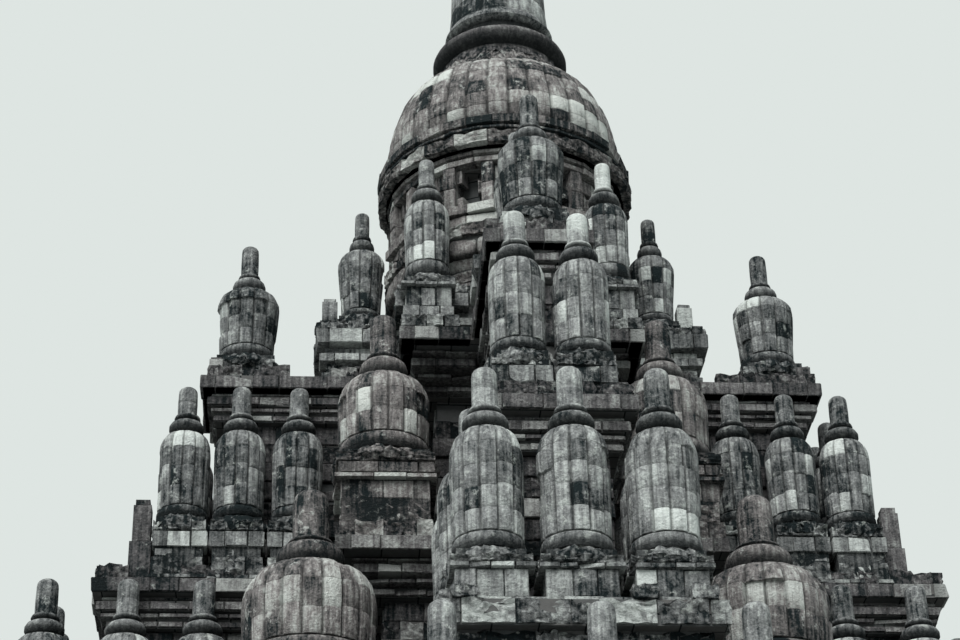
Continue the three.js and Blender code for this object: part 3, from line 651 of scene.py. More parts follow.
def put_urn(pile, urn, x, y, z, spire=0.48, worn=0.12, lean=0.004, slip=0.05, deepest=0.08, shade=0.0,
            bleached=0.09):
    """One urn set on its pedestal, with its own stones, tones and losses. The shade is painted shade on its
    staves, seat and cushion.
    """
    points = urn["points"].copy()
    ribs, ribbed = urn["ribs"], urn["ribbed"]
    tone, loss, rough = np.zeros((3, len(points)))
    for index, zone in enumerate(urn["names"]):
        members = urn["zone"] == index
        if zone.startswith("urn"):
            shift, span = chance.randrange(ribs), chance.choice((1, 1, 2, 3))
            block = ((urn["stave"] + shift) % ribs) // span
            for number in range(ribs // span + 1):
                stone = members & (block == number)
                tone[stone] = stone_tone(bleached, 0.16) - shade
                if chance.random() < worn:
                    loss[stone] = chance.uniform(0.3, 1.0) * deepest
        elif zone in ("seat", "cushion"):
            shift = chance.randrange(3)
            for part in range(ribs // 3 + 1):
                tone[members & ((urn["stave"] + shift) // 3 == part)] = chance.uniform(0.25, 0.5) - shade
            if zone == "cushion":
                rough = members.astype(float)
        elif zone == "ring":
            tone[members] = chance.uniform(0.3, 0.44)
        elif zone == "low spire":
            tone[members] = spire * chance.uniform(0.6, 1.0)
        else:
            tone[members] = spire + chance.uniform(-0.05, 0.05)
    points[:, :2] *= (1 - loss)[:, None]
    if rough.any():
        points += rough[:, None] * np.array([[chance.gauss(0, 0.022) for _ in range(3)] for _ in points])
    if ribbed.any():
        low, high = points[ribbed, 2].min(), points[ribbed, 2].max()
        share = np.clip((points[:, 2] - low) / (high - low) * 1.25, 0, 1)
        slips = np.array([chance.uniform(-slip, slip) for _ in range(ribs)])
        points[:, 2] += slips[urn["stave"]] * np.sin(share * math.pi) * ribbed
    turn = chance.uniform(0, 2 * math.pi)
    lean_x, lean_y = chance.gauss(0, lean), chance.gauss(0, lean)
    c, s = math.cos(turn), math.sin(turn)
    turned = points.copy()
    turned[:, 0] = points[:, 0] * c - points[:, 1] * s + x + lean_x * points[:, 2]
    turned[:, 1] = points[:, 0] * s + points[:, 1] * c + y + lean_y * points[:, 2]
    turned[:, 2] += z
    put(pile, turned, urn["faces"], tone, urn["painted_shade_and_grime"], rough)


def rectangle(x0, y0, x1, y1):
    return [(x1, y0), (x1, y1), (x0, y1), (x0, y0)]


def square(x, y, half):
    return rectangle(x - half, y - half, x + half, y + half)


# heights in metres above the slab that the ratna stands on; the foot, ring and spire as shares of the
# urn's radius; block is a course's height; each pedestal course is (from, to, half width as a share, front)
kind_parts = ("cap", "seat", "shoulder", "ring", "ring_half", "top", "radius", "foot", "ring_share",
              "spire_share", "block", "ribs", "pedestal")
kinds = {name: dict(zip(kind_parts, values)) for name, values in {
    "row": (0.79, 1.05, 2.25, 2.81, 0.14, 3.7, 0.49, 0.96, 0.66, 0.37, 0.31, 12,
            [(0, 0.08, 1.1, "worn"), (0.08, 0.48, 1.02, "worn"), (0.48, 0.55, 1.18, "worn"),
             (0.555, 0.67, 1.15, "carved")]),
    "upper_row": (1.16, 1.38, 2.5, 2.98, 0.14, 3.8, 0.43, 0.97, 0.7, 0.39, 0.33, 12,
                  [(0, 0.4, 1.02, "carved"), (0.42, 0.55, 0.96, "worn"), (0.58, 0.86, 1.09, "worn"),
                   (0.88, 1.07, 1.07, "carved")]),
    "arm": (0.63, 0.89, 1.84, 2.26, 0.16, 3.18, 0.55, 0.88, 0.55, 0.29, 0.34, 12,
            [(0, 0.18, 1.05, "worn"), (0.2, 0.28, 1.1, "worn"), (0.285, 0.52, 1.02, "carved")]),
    "crown_arm": (0.55, 0.74, 1.76, 2.16, 0.15, 2.96, 0.425, 0.84, 0.55, 0.32, 0.33, 11,
                  [(0, 0.24, 1.1, "carved"), (0.25, 0.45, 1.05, "carved")]),
    "drum": (1.12, 1.43, 2.4, 2.88, 0.16, 3.72, 0.4, 0.94, 0.7, 0.36, 0.34, 11,
             [(0, 0.23, 1.3, "carved"), (0.23, 0.44, 1.15, "worn"), (0.45, 0.84, 1.02, "worn"),
              (0.85, 0.91, 1.24, "worn"), (0.92, 1.03, 1.16, "carved")]),
    "upper_squat": (1.6, 1.92, 2.65, 3.34, 0.2, 4.45, 0.76, 0.97, 0.54, 0.3, 0.36, 17,
                    [(0, 0.3, 1.02, "carved"), (0.31, 0.67, 0.96, "carved"), (0.68, 1.0, 0.96, "worn"),
                     (1.01, 1.09, 1.12, "worn"), (1.13, 1.32, 1.05, "worn"), (1.33, 1.51, 1.08, "carved")]),
    "lower_squat": (1.25, 1.58, 2.34, 3.17, 0.22, 4.38, 1.03, 0.97, 0.52, 0.28, 0.42, 20,
                    [(0, 0.2, 1.03, "carved"), (0.21, 0.74, 0.97, "worn"), (0.75, 0.84, 1.07, "worn"),
                     (0.86, 1.15, 1.02, "carved")]),
    "porch": (0.78, 1.02, 2.1, 2.6, 0.14, 3.45, 0.48, 0.96, 0.64, 0.37, 0.32, 12,
              [(0, 0.1, 1.1, "worn"), (0.1, 0.45, 1.0, "worn"), (0.46, 0.53, 1.16, "worn"),
               (0.54, 0.65, 1.13, "carved")]),
    "rail": (0.12, 0.22, 0.48, 0.68, 0.045, 0.98, 0.19, 0.9, 0.62, 0.38, 0.2, 8, [(0, 0.1, 1.1, "worn")]),
}.items()}
wide_urn = 0.7
urns = {name: model_urn(urn_rings(kind), kind["ribs"], 0.07 if kind["radius"] < wide_urn else 0.042,
                        2 if name == "rail" else 4)
        for name, kind in kinds.items()}


def put_ratna(pile, name, x, y, z, spire, shade=0.0):
    """A whole ratna: base, die and carved cap of cut stone, and the urn on top."""
    kind = kinds[name]
    radius = kind["radius"]
    core = 0.93 * radius
    put_block(pile, (x - core, y - core, z), (x + core, y + core, z + kind["cap"] - 0.03))
    for turn, (z0, z1, reach, front) in enumerate(kind["pedestal"]):
        lay_course(pile, square(x, y, reach * radius - 0.02), z + z0, z + z1, 0.0, max(0.3, radius * 0.7),
                   front, turn, uneven=0.03 if front == "carved" else 0.012)
    put_urn(pile, urns[name], x, y, z, spire, shade=shade, bleached=0.09 if radius < wide_urn else 0.2)


def turned_spot(x, y, side):
    """A spot given for the front arm, turned to another arm."""
    for _ in range(("front", "right", "back", "left").index(side)):
        x, y = -y, x
    return x, y + axis_y


# The balustrade's own finials are the smallest of these. Each of its five sections is one piece.
for x, y in rail_spots:
    put_ratna(rail_pile, "rail", x, y, rail_top, 0.48)
section_edge = 9.0


def rail_section(shape):
    """The section of the balustrade that a stone belongs to."""
    x, y, _ = shape[0].mean(axis=0)
    if abs(x) > section_edge:
        return "left" if x < 0 else "right"
    if y > axis_y:
        return "back"
    return "front_left" if x < 0 else "front_right"


for section in ("left", "right", "back", "front_left", "front_right"):
    finish_piece(f"balustrade_{section}_stones", [s for s in rail_pile if rail_section(s) == section],
                 "grey_andesite", f"balustrade_{section}")

# The body's foot and walls: the same dry-laid blocks, with a plinth, a waist band and a cornice bed.
# The doorway passage and the three niches stay open. Each niche has jambs, a sill and a carved crest.
foot_plan = (8.0, 8.3, 8.0, 2.7, 2.9, 4.9, 4.9)
floor_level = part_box("body_foot")[1].z
porch_half, porch_front, porch_back = 2.4, 10.9, 7.9


def porch_outline(step):
    """The porch's outline, its sides and front grown by a moulding's step."""
    return rectangle(-porch_half - step, axis_y - porch_front - step, porch_half + step, axis_y - porch_back)


behind_porch = ((-porch_half - 0.25, axis_y - 8.4, 0), (porch_half + 0.25, axis_y - 7.6, 20))
pile = []
for turn, (z0, z1, step, proud, front) in enumerate(((0.0, 0.29, 0.2, 0.02, "worn"),
                                                     (0.3, 0.59, 0.0, 0.04, "carved"),
                                                     (0.6, 0.9, 0.12, 0.02, "worn"))):
    for outline in (cross_outline(foot_plan, step), porch_outline(0.25)):
        lay_course(pile, outline, terrace_top + z0, terrace_top + z1, proud, 0.6, front, turn,
                   gaps=[behind_porch])
lay_steps(pile, 4, 0.18, 0.32, 1.25, floor_level - 0.18, axis_y - porch_front - 0.26)
finish_piece("foot_facing", pile, "grey_andesite")

wall_plan = (7.6, 7.9, 7.6, 2.3, 2.6, 4.5, 4.5)
wall_courses = [(3.5, 3.85, 0.24, "worn"), (3.85, 4.2, 0.09, "round")]
level = 4.2
while level < 10.6:
    band = 7.6 < level < 8.0
    wall_courses.append((level, min(level + 0.36, 10.9), 0.13 if band else 0.0, "carved" if band else "worn"))
    level += 0.36
wall_courses.append((10.96, 11.4, 0.15, "worn"))
niche_half, niche_low, niche_high = 0.62, 4.6, 7.0
wall_gaps = [((-8.2, axis_y - niche_half, niche_low), (-7.0, axis_y + niche_half, niche_high)),
             ((7.0, axis_y - niche_half, niche_low), (8.2, axis_y + niche_half, niche_high)),
             ((-niche_half, axis_y + 7.0, niche_low), (niche_half, axis_y + 8.2, niche_high)),
             ((-2.38, axis_y - 8.4, 0), (2.38, axis_y - 7.4, 9.46))]
pile = []
for turn, (z0, z1, step, front) in enumerate(wall_courses):
    lay_course(pile, cross_outline(wall_plan, step), z0, z1, 0.035, 0.62, front, turn, missing=0.006,
               gaps=wall_gaps)


def model_crest():
    """A carved upright leaf: wide at the foot, drawn in to a point, with its middle standing forward."""
    bpy.ops.object.select_all(action="DESELECT")
    bpy.ops.mesh.primitive_cube_add(size=1, location=(0, 0, 0.5))
    piece = bpy.context.object
    start_edit()
    bpy.ops.mesh.subdivide(number_cuts=3)
    for share, width in ((0.25, 1.12), (0.5, 0.98), (0.75, 0.66), (1.0, 0.16)):
        select_where(piece, lambda co: abs(co.z - share) < 0.01)
        bpy.ops.transform.resize(value=(width, 0.5 + 0.5 * width, 1), center_override=(0, 0.3, share))
    select_where(piece, lambda co: abs(co.x) < 0.05 and co.y < -0.2)
    bpy.ops.transform.translate(value=(0, -0.16, 0))
    select_where(piece, lambda co: 0.1 < abs(co.x) < 0.4 and co.y < -0.1 and 0.2 < co.z < 0.8)
    bpy.ops.transform.translate(value=(0, 0.14, 0))
    return take_shape(piece)


crest_points, crest_faces = model_crest()


def put_crest(pile, foot, outward, width, height, depth):
    """One crest leaf on an edge, its face towards the outside. Weather has broken its outline."""
    along = np.array((-outward[1], outward[0], 0.0))
    points = crest_points + np.array([[chance.gauss(0, 0.035) for _ in range(3)] for _ in crest_points])
    points[:, 2] = np.minimum(points[:, 2], chance.choice((1.1, 1.1, 0.75)) + points[:, 0] * 0.2)
    points[points[:, 2] < 0.05, 2] = 0.0
    world = (np.array(foot, float)[None, :] + points[:, :1] * width * along[None, :]
             - points[:, 1:2] * depth * outward[None, :] + points[:, 2:3] * height * upward[None, :])
    # Painted shade: each leaf is painted darker towards its back, where it stands on the slab.
    put(pile, world, crest_faces, stone_tone(), np.clip(0.25 + points[:, 1] * 0.5, 0.05, 0.6), 1.0)


def lay_crests(pile, outline, z, spacing, size, missing, inset=0.16):
    """Crest leaves along the edge of a slab, one at each corner and the rest evenly between."""
    for (x0, y0), (x1, y1) in zip(outline, outline[1:] + outline[:1]):
        run = math.hypot(x1 - x0, y1 - y0)
        along = np.array(((x1 - x0) / run, (y1 - y0) / run, 0.0))
        outward = np.array((along[1], -along[0], 0.0))
        number = max(1, round((run - 0.4) / spacing))
        for k in range(number + 1):
            reach = 0.22 + (run - 0.44) * k / number
            if chance.random() < missing:
                continue
            foot = np.array((x0, y0, z)) + along * reach - outward * inset
            put_crest(pile, foot, outward, size * chance.uniform(0.85, 1.1), size * chance.uniform(0.9, 1.25),
                      0.2)


for side in ("left", "right", "back"):
    face = np.array((*turned_spot(0, -1, side), 0.0)) - inward * axis_y
    along = np.array((-face[1], face[0], 0.0))
    middle = np.array((*turned_spot(0, -wall_plan[0], side), 0.0))
    for sign in (-1, 1):
        for k in range(4):
            start = middle + along * (sign * (niche_half + 0.11) - 0.11) + upward * (niche_low + 0.6 * k)
            put_stone(pile, "worn", start, along, face, 0.22, 0.6 - joint_width, 0.1)
    for z0, height, half, proud in ((niche_low - 0.24, 0.23, 1.0, 0.16), (niche_high, 0.22, 0.92, 0.12),
                                    (niche_high + 0.23, 0.16, 1.02, 0.2)):
        for k in range(3):
            start = middle + along * (half * (2 * k / 3 - 1)) + upward * z0
            put_stone(pile, "worn", start, along, face, 2 * half / 3 - joint_width, height, proud)
    for reach, size in ((-0.62, 0.45), (0.0, 0.85), (0.62, 0.45)):
        foot = middle + along * reach + face * 0.06 + upward * (niche_high + 0.4)
        put_crest(pile, foot, face, size, size * 1.1, 0.24)
finish_piece("wall_facing", pile, "brown_andesite")

# The porch: block walls with a moulded base either side of the passage, a pale moulded door frame,
# and over it a guardian head carved from a few big blocks, with bulging eyes, jaw and a crest of flames.
door_half, frame_half, frame_low, frame_high = 0.8, 1.22, 3.95, 6.92
porch_gaps = [((-porch_half, axis_y - 7.93, 0), (porch_half, axis_y - 7.6, 20)),
              ((-frame_half, axis_y - 11.2, 3.0), (frame_half, axis_y - 10.6, frame_high))]
porch_stone = 0.3875
porch_courses = [(floor_level, frame_low, 0.14, "round")]
porch_courses += [(frame_low + porch_stone * k, frame_low + porch_stone * (k + 1), 0.0, "worn")
                  for k in range(12)]
pile = []
for turn, (z0, z1, step, front) in enumerate(porch_courses):
    lay_course(pile, porch_outline(step), z0, z1, 0.035, 0.55, front, turn, gaps=porch_gaps)
finish_piece("porch_facing", pile, "brown_andesite")

pile = []
frame_front = axis_y - porch_front - 0.28
jamb_stone = 0.6375
for sign in (-1, 1):
    low_x, high_x = sorted((sign * door_half, sign * frame_half))
    put_block(pile, (low_x, frame_front + 0.02, frame_low), (high_x, frame_front + 0.27, frame_high),
              0.4, 0.3)
    for k in range(4):
        for x0, width, proud in ((low_x, high_x - low_x, 0.0),
                                 (low_x if sign > 0 else high_x - 0.1, 0.1, 0.05),
                                 (low_x + 0.17 if sign > 0 else high_x - 0.25, 0.08, 0.03)):
            put_stone(pile, "worn", (x0, frame_front, frame_low + jamb_stone * k), across, outward_front,
                      width, jamb_stone - joint_width, proud, depth=0.2)
put_block(pile, (-door_half, frame_front + 0.02, 6.51), (door_half, frame_front + 0.27, frame_high), 0.4, 0.3)
head_stone = 2 * door_half / 3
for k in range(3):
    for z0, height, proud in ((6.5, 0.42, 0.01), (6.5, 0.1, 0.05), (6.67, 0.08, 0.03)):
        put_stone(pile, "worn", (-door_half + head_stone * k, frame_front, z0), across, outward_front,
                  head_stone - joint_width / 2, height - joint_width, proud, depth=0.2)
finish_piece("door_frame_stones", pile, "pale_andesite", "door_frame")


def model_boss():
    """A rounded carved boss, a ball of sixteen by ten facets that the carver left slightly flat."""
    bpy.ops.object.select_all(action="DESELECT")
    bpy.ops.mesh.primitive_uv_sphere_add(segments=16, ring_count=10, radius=1, location=(0, 0, 0))
    piece = bpy.context.object
    start_edit()
    bpy.ops.transform.resize(value=(1, 0.92, 1))
    return take_shape(piece)


boss_points, boss_faces = model_boss()
pile = []
head_low, head_back = frame_high + 0.01, axis_y - porch_front
for z0, z1, half in ((0.0, 0.38, 0.84), (0.38, 0.76, 0.84), (0.76, 1.08, 0.78), (1.08, 1.32, 0.6),
                     (1.32, 1.48, 0.36)):
    number = max(1, round(half * 2 / 0.5))
    for k in range(number):
        put_stone(pile, "worn", (-half + 2 * half * k / number, head_back - 0.26, head_low + z0), across,
                  outward_front, 2 * half / number - 0.006, z1 - z0 - 0.006, 0.0, 0.55)
# snout, bridge of the nose and jaw. Then on each side: eye, pupil, brow, nostril, cheek, corner of the jaw,
# three teeth and ear, and at last six flames of the crest
bosses = [(0.0, 0.4, 0.3, 0.2, 0.17), (0.0, 0.62, 0.14, 0.22, 0.24), (0.0, 0.12, 0.62, 0.1, 0.1)]
for sign in (-1, 1):
    bosses += [(sign * x, *rest) for x, *rest in (
        (0.32, 0.78, 0.17, 0.2, 0.16), (0.32, 0.8, 0.1, 0.26, 0.09), (0.32, 0.96, 0.28, 0.12, 0.08),
        (0.15, 0.4, 0.1, 0.25, 0.08), (0.52, 0.42, 0.2, 0.14, 0.18), (0.7, 0.2, 0.12, 0.16, 0.16),
        (0.1, 0.2, 0.06, 0.24, 0.09), (0.27, 0.2, 0.06, 0.22, 0.09), (0.43, 0.2, 0.06, 0.19, 0.09),
        (0.62, 0.72, 0.1, 0.1, 0.14))]
    for angle in (math.radians(14 + 15 * k) for k in range(6)):
        bosses.append((sign * 0.72 * math.cos(angle), 0.72 + 0.68 * math.sin(angle), 0.1, 0.1, 0.13))
for x, z, half_x, half_y, half_z in bosses:
    points = boss_points * (half_x, half_y, half_z) + (x, head_back - 0.25, head_low + z)
    put(pile, points, boss_faces, 0.5 + chance.uniform(-0.12, 0.12), 0.1)
finish_piece("guardian_head_carving", pile, "pale_andesite", "kala_head")

# The main cornice, the narrower attic and the two roof stages: courses that step out and in, each with a
# slab on top. The deep grooves between them are what makes the roof look banded from below. Broken crest
# leaves stand along the slabs' edges.
cornice_plan = (7.6, 8.2, 7.6, 2.3, 2.6, 4.5, 4.5)
attic_plan = (8.25, 9.17, 8.25, 2.04, 1.68, 4.7, 4.7)
lower_plan = (6.65, 7.33, 6.65, 1.02, 0.66, 2.3, 2.3)
upper_plan = (5.05, 5.25, 5.05, 0.43, 0.43, 1.4, 1.4)
cornice_level, attic_level, lower_level, upper_level, crown_level = (
    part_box(name)[0].z for name in ("main_cornice", "attic_course", "roof_stage_lower", "roof_stage_upper",
                                   "crown_drum"))
arm_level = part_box("roof_stage_upper")[1].z
least_proud = 0.04


def put_post(pile, x, y, z, half, height):
    """A short post on a slab's edge: a broad lower stone, a narrower one on it and a worn cap."""
    for z0, z1, reach in ((0.0, 0.5, 1.25), (0.5, 0.93, 1.0), (0.93, 1.0, 0.8)):
        width = half * reach
        put_stone(pile, "worn", (x - width, y - width, z + height * z0), across, outward_front, 2 * width,
                  height * (z1 - z0) - joint_width / 2, depth=2 * width)


def lay_stage(name, plan, base, courses, crest, slab_core=0.0, slab_core_y=0.0, low_core=0.0, broken=1.0,
              post=None, corbels=0, slot="dark_andesite"):
    """Faces one roof stage. The last course is the slab, whose core reaches further out, on as many
    corbelled courses as given. On its edge stand crest leaves, a carved course of which the given share has
    broken off, and four posts where they are given."""
    stage_pile = []
    last = len(courses) - 1
    for turn, (z0, z1, step, proud, front) in enumerate(courses):
        share = max(0.0, 1 - (last - turn) / (corbels + 1))
        outline = cross_outline(plan, step, low_core + (slab_core - low_core) * share,
                                low_core + (slab_core_y - low_core) * share)
        # Painted light and shade: wall courses are painted darker as shade, corbelled courses paler as lit
        # mouldings, and the slab keeps its own tone.
        lay_course(stage_pile, outline, base + z0, base + z1, max(proud, least_proud),
                   0.6 if turn == last else 0.5, front, turn, missing=0 if share else 0.03,
                   uneven=0.012 if share else 0.025, depth=0.4 if 0 < share < 1 else stone_depth,
                   shade=0.0 if turn == last else -0.1 if share else 0.12)
    top = base + courses[-1][1]
    edge = cross_outline(plan, courses[-1][2] - 0.04, slab_core, slab_core_y)
    lay_course(stage_pile, edge, top, top + 0.24, 0.0, 0.42, "carved", missing=broken, uneven=0.05, depth=0.2)
    lay_crests(stage_pile, edge, top, *crest)
    if post:
        x, y, half, height = post
        for sign_x in (-1, 1):
            for sign_y in (-1, 1):
                put_post(stage_pile, sign_x * x, sign_y * y + axis_y, top, half, height)
    finish_piece(name, stage_pile, slot)


lay_stage("main_cornice_facing", cornice_plan, cornice_level,
          [(0.0, 0.23, 0.15, 0.02, "worn"), (0.25, 0.39, 0.4, 0.03, "worn"), (0.41, 0.55, 0.25, 0.03, "worn"),
           (0.57, 0.77, 0.65, 0.03, "worn"), (0.79, 0.91, 0.5, 0.03, "worn"), (0.92, 1.2, 1.0, 0.02, "worn")],
          (0.95, 0.55, 0.1, -0.06), low_core=-0.7)
lay_stage("attic_facing", attic_plan, attic_level,
          [(0.0, 0.25, 0.06, 0.03, "worn"), (0.27, 0.53, -0.06, 0.03, "carved"),
           (0.56, 0.9, 0.12, 0.03, "carved")], (0.7, 0.34, 0.4, 0.0), slot="grey_andesite")


def stage_courses(height):
    """The courses of a roof stage of this height, from its base moulding to its slab."""
    courses = [(0.0, 0.24, 0.06, 0.02, "worn"), (0.26, 0.44, 0.02, 0.04, "round")]
    bottom, top = 0.46, height - 0.8
    number = round((top - bottom) / 0.34)
    for k in range(number):
        z0, z1 = (bottom + (top - bottom) * (k + end) / number for end in (0, 1))
        courses.append((z0, z1 - 0.01, 0, 0.08 if k % 3 == 2 else 0.02, "carved" if k % 3 == 0 else "worn"))
    return courses + [(height - drop, height - end, step, proud, "worn") for drop, end, step, proud in (
        (0.78, 0.68, 0.16, 0.01), (0.63, 0.56, 0.16, 0.09), (0.52, 0.37, 0.26, 0.06),
        (0.33, 0.28, 0.18, 0.07), (0.25, 0.0, 0.4, 0.015))]


lay_stage("lower_stage_facing", lower_plan, lower_level, stage_courses(upper_level - lower_level),
          (0.5, 0.42, 0.3, 0.1), 0.4, 0.4, broken=0.15, post=(6.34, 0.98, 0.15, 1.58), corbels=4)
lay_stage("upper_stage_facing", upper_plan, upper_level, stage_courses(arm_level - upper_level),
          (0.55, 0.28, 0.45, 0.1), 0.25, 0.8, broken=0.4, post=(5.25, 0.5, 0.12, 0.5), corbels=4)

# The rows of ratnas round the arms of both stages, on the kerb that carries them, the squat ratnas in
# the corners, and one on each arm of the upper stage.


def lay_row(node, kind_name, z, side, end_reach, end_offsets, flank_reaches=(), flank_offset=0.0, tones=(),
            shade=0.1):
    """Finials round the end of one arm, on the kerb course that carries them. The first spires may have
    tones of their own. The shade is painted shade on the urns; the front rows are given none."""
    row_pile = []
    spots = [(offset, -end_reach) for offset in end_offsets]
    for reach in flank_reaches:
        spots += [(-flank_offset, -reach), (flank_offset, -reach)]
    tones = dict(enumerate(tones))
    for index, spot in enumerate(spots):
        put_ratna(row_pile, kind_name, *turned_spot(*spot, side), z, tones.get(index, 0.38), shade)
    reach = kinds[kind_name]["radius"] * 1.12
    kerbs = [(min(end_offsets) - reach, -end_reach - reach, max(end_offsets) + reach, -end_reach + reach)]
    for sign in (-1, 1) if flank_reaches else ():
        x = sign * flank_offset
        kerbs.append((x - reach, -end_reach, x + reach, -min(flank_reaches) + reach))
    for x0, y0, x1, y1 in kerbs:
        a, b = turned_spot(x0, y0, side), turned_spot(x1, y1, side)
        kerb = rectangle(min(a[0], b[0]), min(a[1], b[1]), max(a[0], b[0]), max(a[1], b[1]))
        lay_course(row_pile, kerb, z, z + 0.07, 0.0, 0.5, uneven=0.03, missing=0.05)
    finish_piece(f"{node}_ratnas", row_pile, "grey_andesite", node)


side_ends, side_flanks, side_offset = (-1.62, -0.54, 0.54, 1.62), (6.45, 5.24), 1.62
front_ends, front_offset = (-1.17, 0.0, 1.17), 1.28
shorter_back = attic_plan[1] - attic_plan[2]
for side in ("left", "right"):
    lay_row(f"{side}_finial_row", "row", lower_level, side, 7.73, side_ends, side_flanks, side_offset)
lay_row("back_finial_row", "row", lower_level, "back", 8.7 - shorter_back, front_ends,
        (7.46 - shorter_back, 6.22 - shorter_back), front_offset)
lay_row("front_finial_row", "row", lower_level, "front", 8.7, front_ends, (7.46, 6.22), front_offset,
        (0.62, 0.6, 0.35), 0.0)
for side in ("left", "right"):
    lay_row(f"upper_{side}_finial_row", "upper_row", upper_level, side, 5.69, (-0.98, 0.0, 0.98),
            (4.745, 3.785), 0.98)
shorter_back = lower_plan[1] - lower_plan[2]
lay_row("upper_back_finial_row", "upper_row", upper_level, "back", 6.62 - shorter_back, (-0.48, 0.48))
lay_row("upper_front_finial_row", "upper_row", upper_level, "front", 6.62, (-0.48, 0.48), tones=(0.62, 1.0),
        shade=0.0)
for stage, z, reach in (("lower", lower_level, 3.5), ("upper", upper_level, 2.33)):
    for front, sy in (("front", -1), ("back", 1)):
        for side, sx in (("left", -1), ("right", 1)):
            pile = []
            put_ratna(pile, f"{stage}_squat", sx * reach, sy * reach + axis_y, z, 0.3)
            node = f"{stage}_corner_finial_{front}_{side}"
            finish_piece(f"{node}_ratna", pile, "brown_andesite", node)
for side, reach in (("left", 4.74), ("right", 4.74), ("back", 4.74), ("front", 4.86)):
    pile = []
    # The last value is painted shade on the arm ratna's urn.
    put_ratna(pile, "arm", *turned_spot(0, -reach, side), arm_level, 0.3, 0.1)
    finish_piece(f"{side}_arm_ratna", pile, "grey_andesite", f"{side}_arm_finial")

# The crown terrace: a cross of moulded block courses on the upper stage. It carries eight small ratnas
# round the drum, four on its arms and four beside the drum, with two posts and a broken crest on its edge.
crown_plan = (3.3, 3.15, 3.15, 0.62, 0.62, 1.9, 1.9)
pile = []
for turn, (z0, z1, step, front) in enumerate(((0.0, 0.18, 0.06, "worn"), (0.19, 0.37, 0.0, "carved"),
                                              (0.39, 0.55, 0.1, "worn"), (0.57, 0.69, 0.02, "worn"),
                                              (0.71, 1.0, 0.2, "worn"))):
    lay_course(pile, cross_outline(crown_plan, step), arm_level + z0, arm_level + z1, 0.02, 0.5, front, turn,
               missing=0.02)
core = cross_outline(crown_plan, -0.01)
size = len(core)
core_points = np.array([(x, y, z) for z in (arm_level, crown_level - 0.01) for x, y in core], float)
core_faces = [tuple(range(size - 1, -1, -1)), tuple(range(size, 2 * size))]
core_faces += [(i, (i + 1) % size, size + (i + 1) % size, size + i) for i in range(size)]
put(pile, core_points, core_faces, 0.4, 0.25)
lay_crests(pile, cross_outline(crown_plan, 0.2), crown_level, 0.55, 0.28, 0.45, 0.1)
lay_course(pile, cross_outline(crown_plan, 0.16), crown_level, crown_level + 0.2, 0.0, 0.4, "carved",
           missing=0.45, uneven=0.04, depth=0.2)
for sign in (-1, 1):
    put_post(pile, sign * 3.26, axis_y, crown_level, 0.14, 1.05)
    # The side ratnas on the crown's arms get painted shade on their urns.
    put_ratna(pile, "crown_arm", sign * 2.7, axis_y, crown_level, 0.3, 0.08)
    put_ratna(pile, "crown_arm", 0, sign * 2.7 + axis_y, crown_level, 0.5)
    for y in (-2.14, 2.14):
        put_ratna(pile, "drum", sign * 1.58, y + axis_y, arm_level, 0.9 if sign > 0 else 0.45)
finish_piece("crown_terrace_and_ratnas", pile, "grey_andesite", "crown_terrace")

# The drum: a round wall of blocks over a swelling base, with eight niches between pilasters, each on a
# sill, under a banded rim.
niche_spacing = math.pi / 4
drum_foot = round(crown_level, 2)
drum_radius, niche_floor, niche_course = 2.04, drum_foot + 1.9, 0.29


def in_niche(angle):
    """True where a block would close one of the eight niches."""
    beside = (angle + math.pi / 2 + niche_spacing / 2) % niche_spacing
    return min(beside, niche_spacing - beside) < 0.16


def lay_round(pile, z0, z1, radius, number, front="worn", missing=0.0, shade=0.0, niches=False):
    """A course of blocks round the drum, which may leave the niches open."""
    width = 2 * math.pi * radius / number
    offset = chance.uniform(0, 1)
    for k in range(number):
        angle = 2 * math.pi * (k + offset) / number
        if niches and in_niche(angle) or chance.random() < missing:
            continue
        outward = np.array((math.cos(angle), math.sin(angle), 0.0))
        along = np.array((-outward[1], outward[0], 0.0))
        start = outward * radius - along * (width / 2) + np.array((0, axis_y, z0))
        put_stone(pile, front, start, along, outward, width - joint_width * 0.6, z1 - z0 - joint_width,
                  chance.uniform(-0.012, 0.018), shade=shade)


pile = []
for z0, z1, radius, number, front in (
        (0.0, 0.3, 2.14, 26, "worn"), (0.32, 0.58, 2.12, 24, "carved"), (0.6, 0.8, 2.13, 24, "slope"),
        (0.8, 1.2, 2.25, 26, "round"), (1.22, 1.48, 2.24, 24, "carved"), (1.5, 1.68, 2.17, 24, "worn"),
        (1.7, 1.88, 2.15, 26, "worn")):
    lay_round(pile, drum_foot + z0, drum_foot + z1, radius, number, front, missing=0.02)
for course, front in enumerate(("worn", "carved", "worn")):
    z0 = niche_floor + niche_course * course
    lay_round(pile, z0, z0 + niche_course, drum_radius, 25, front, niches=True)
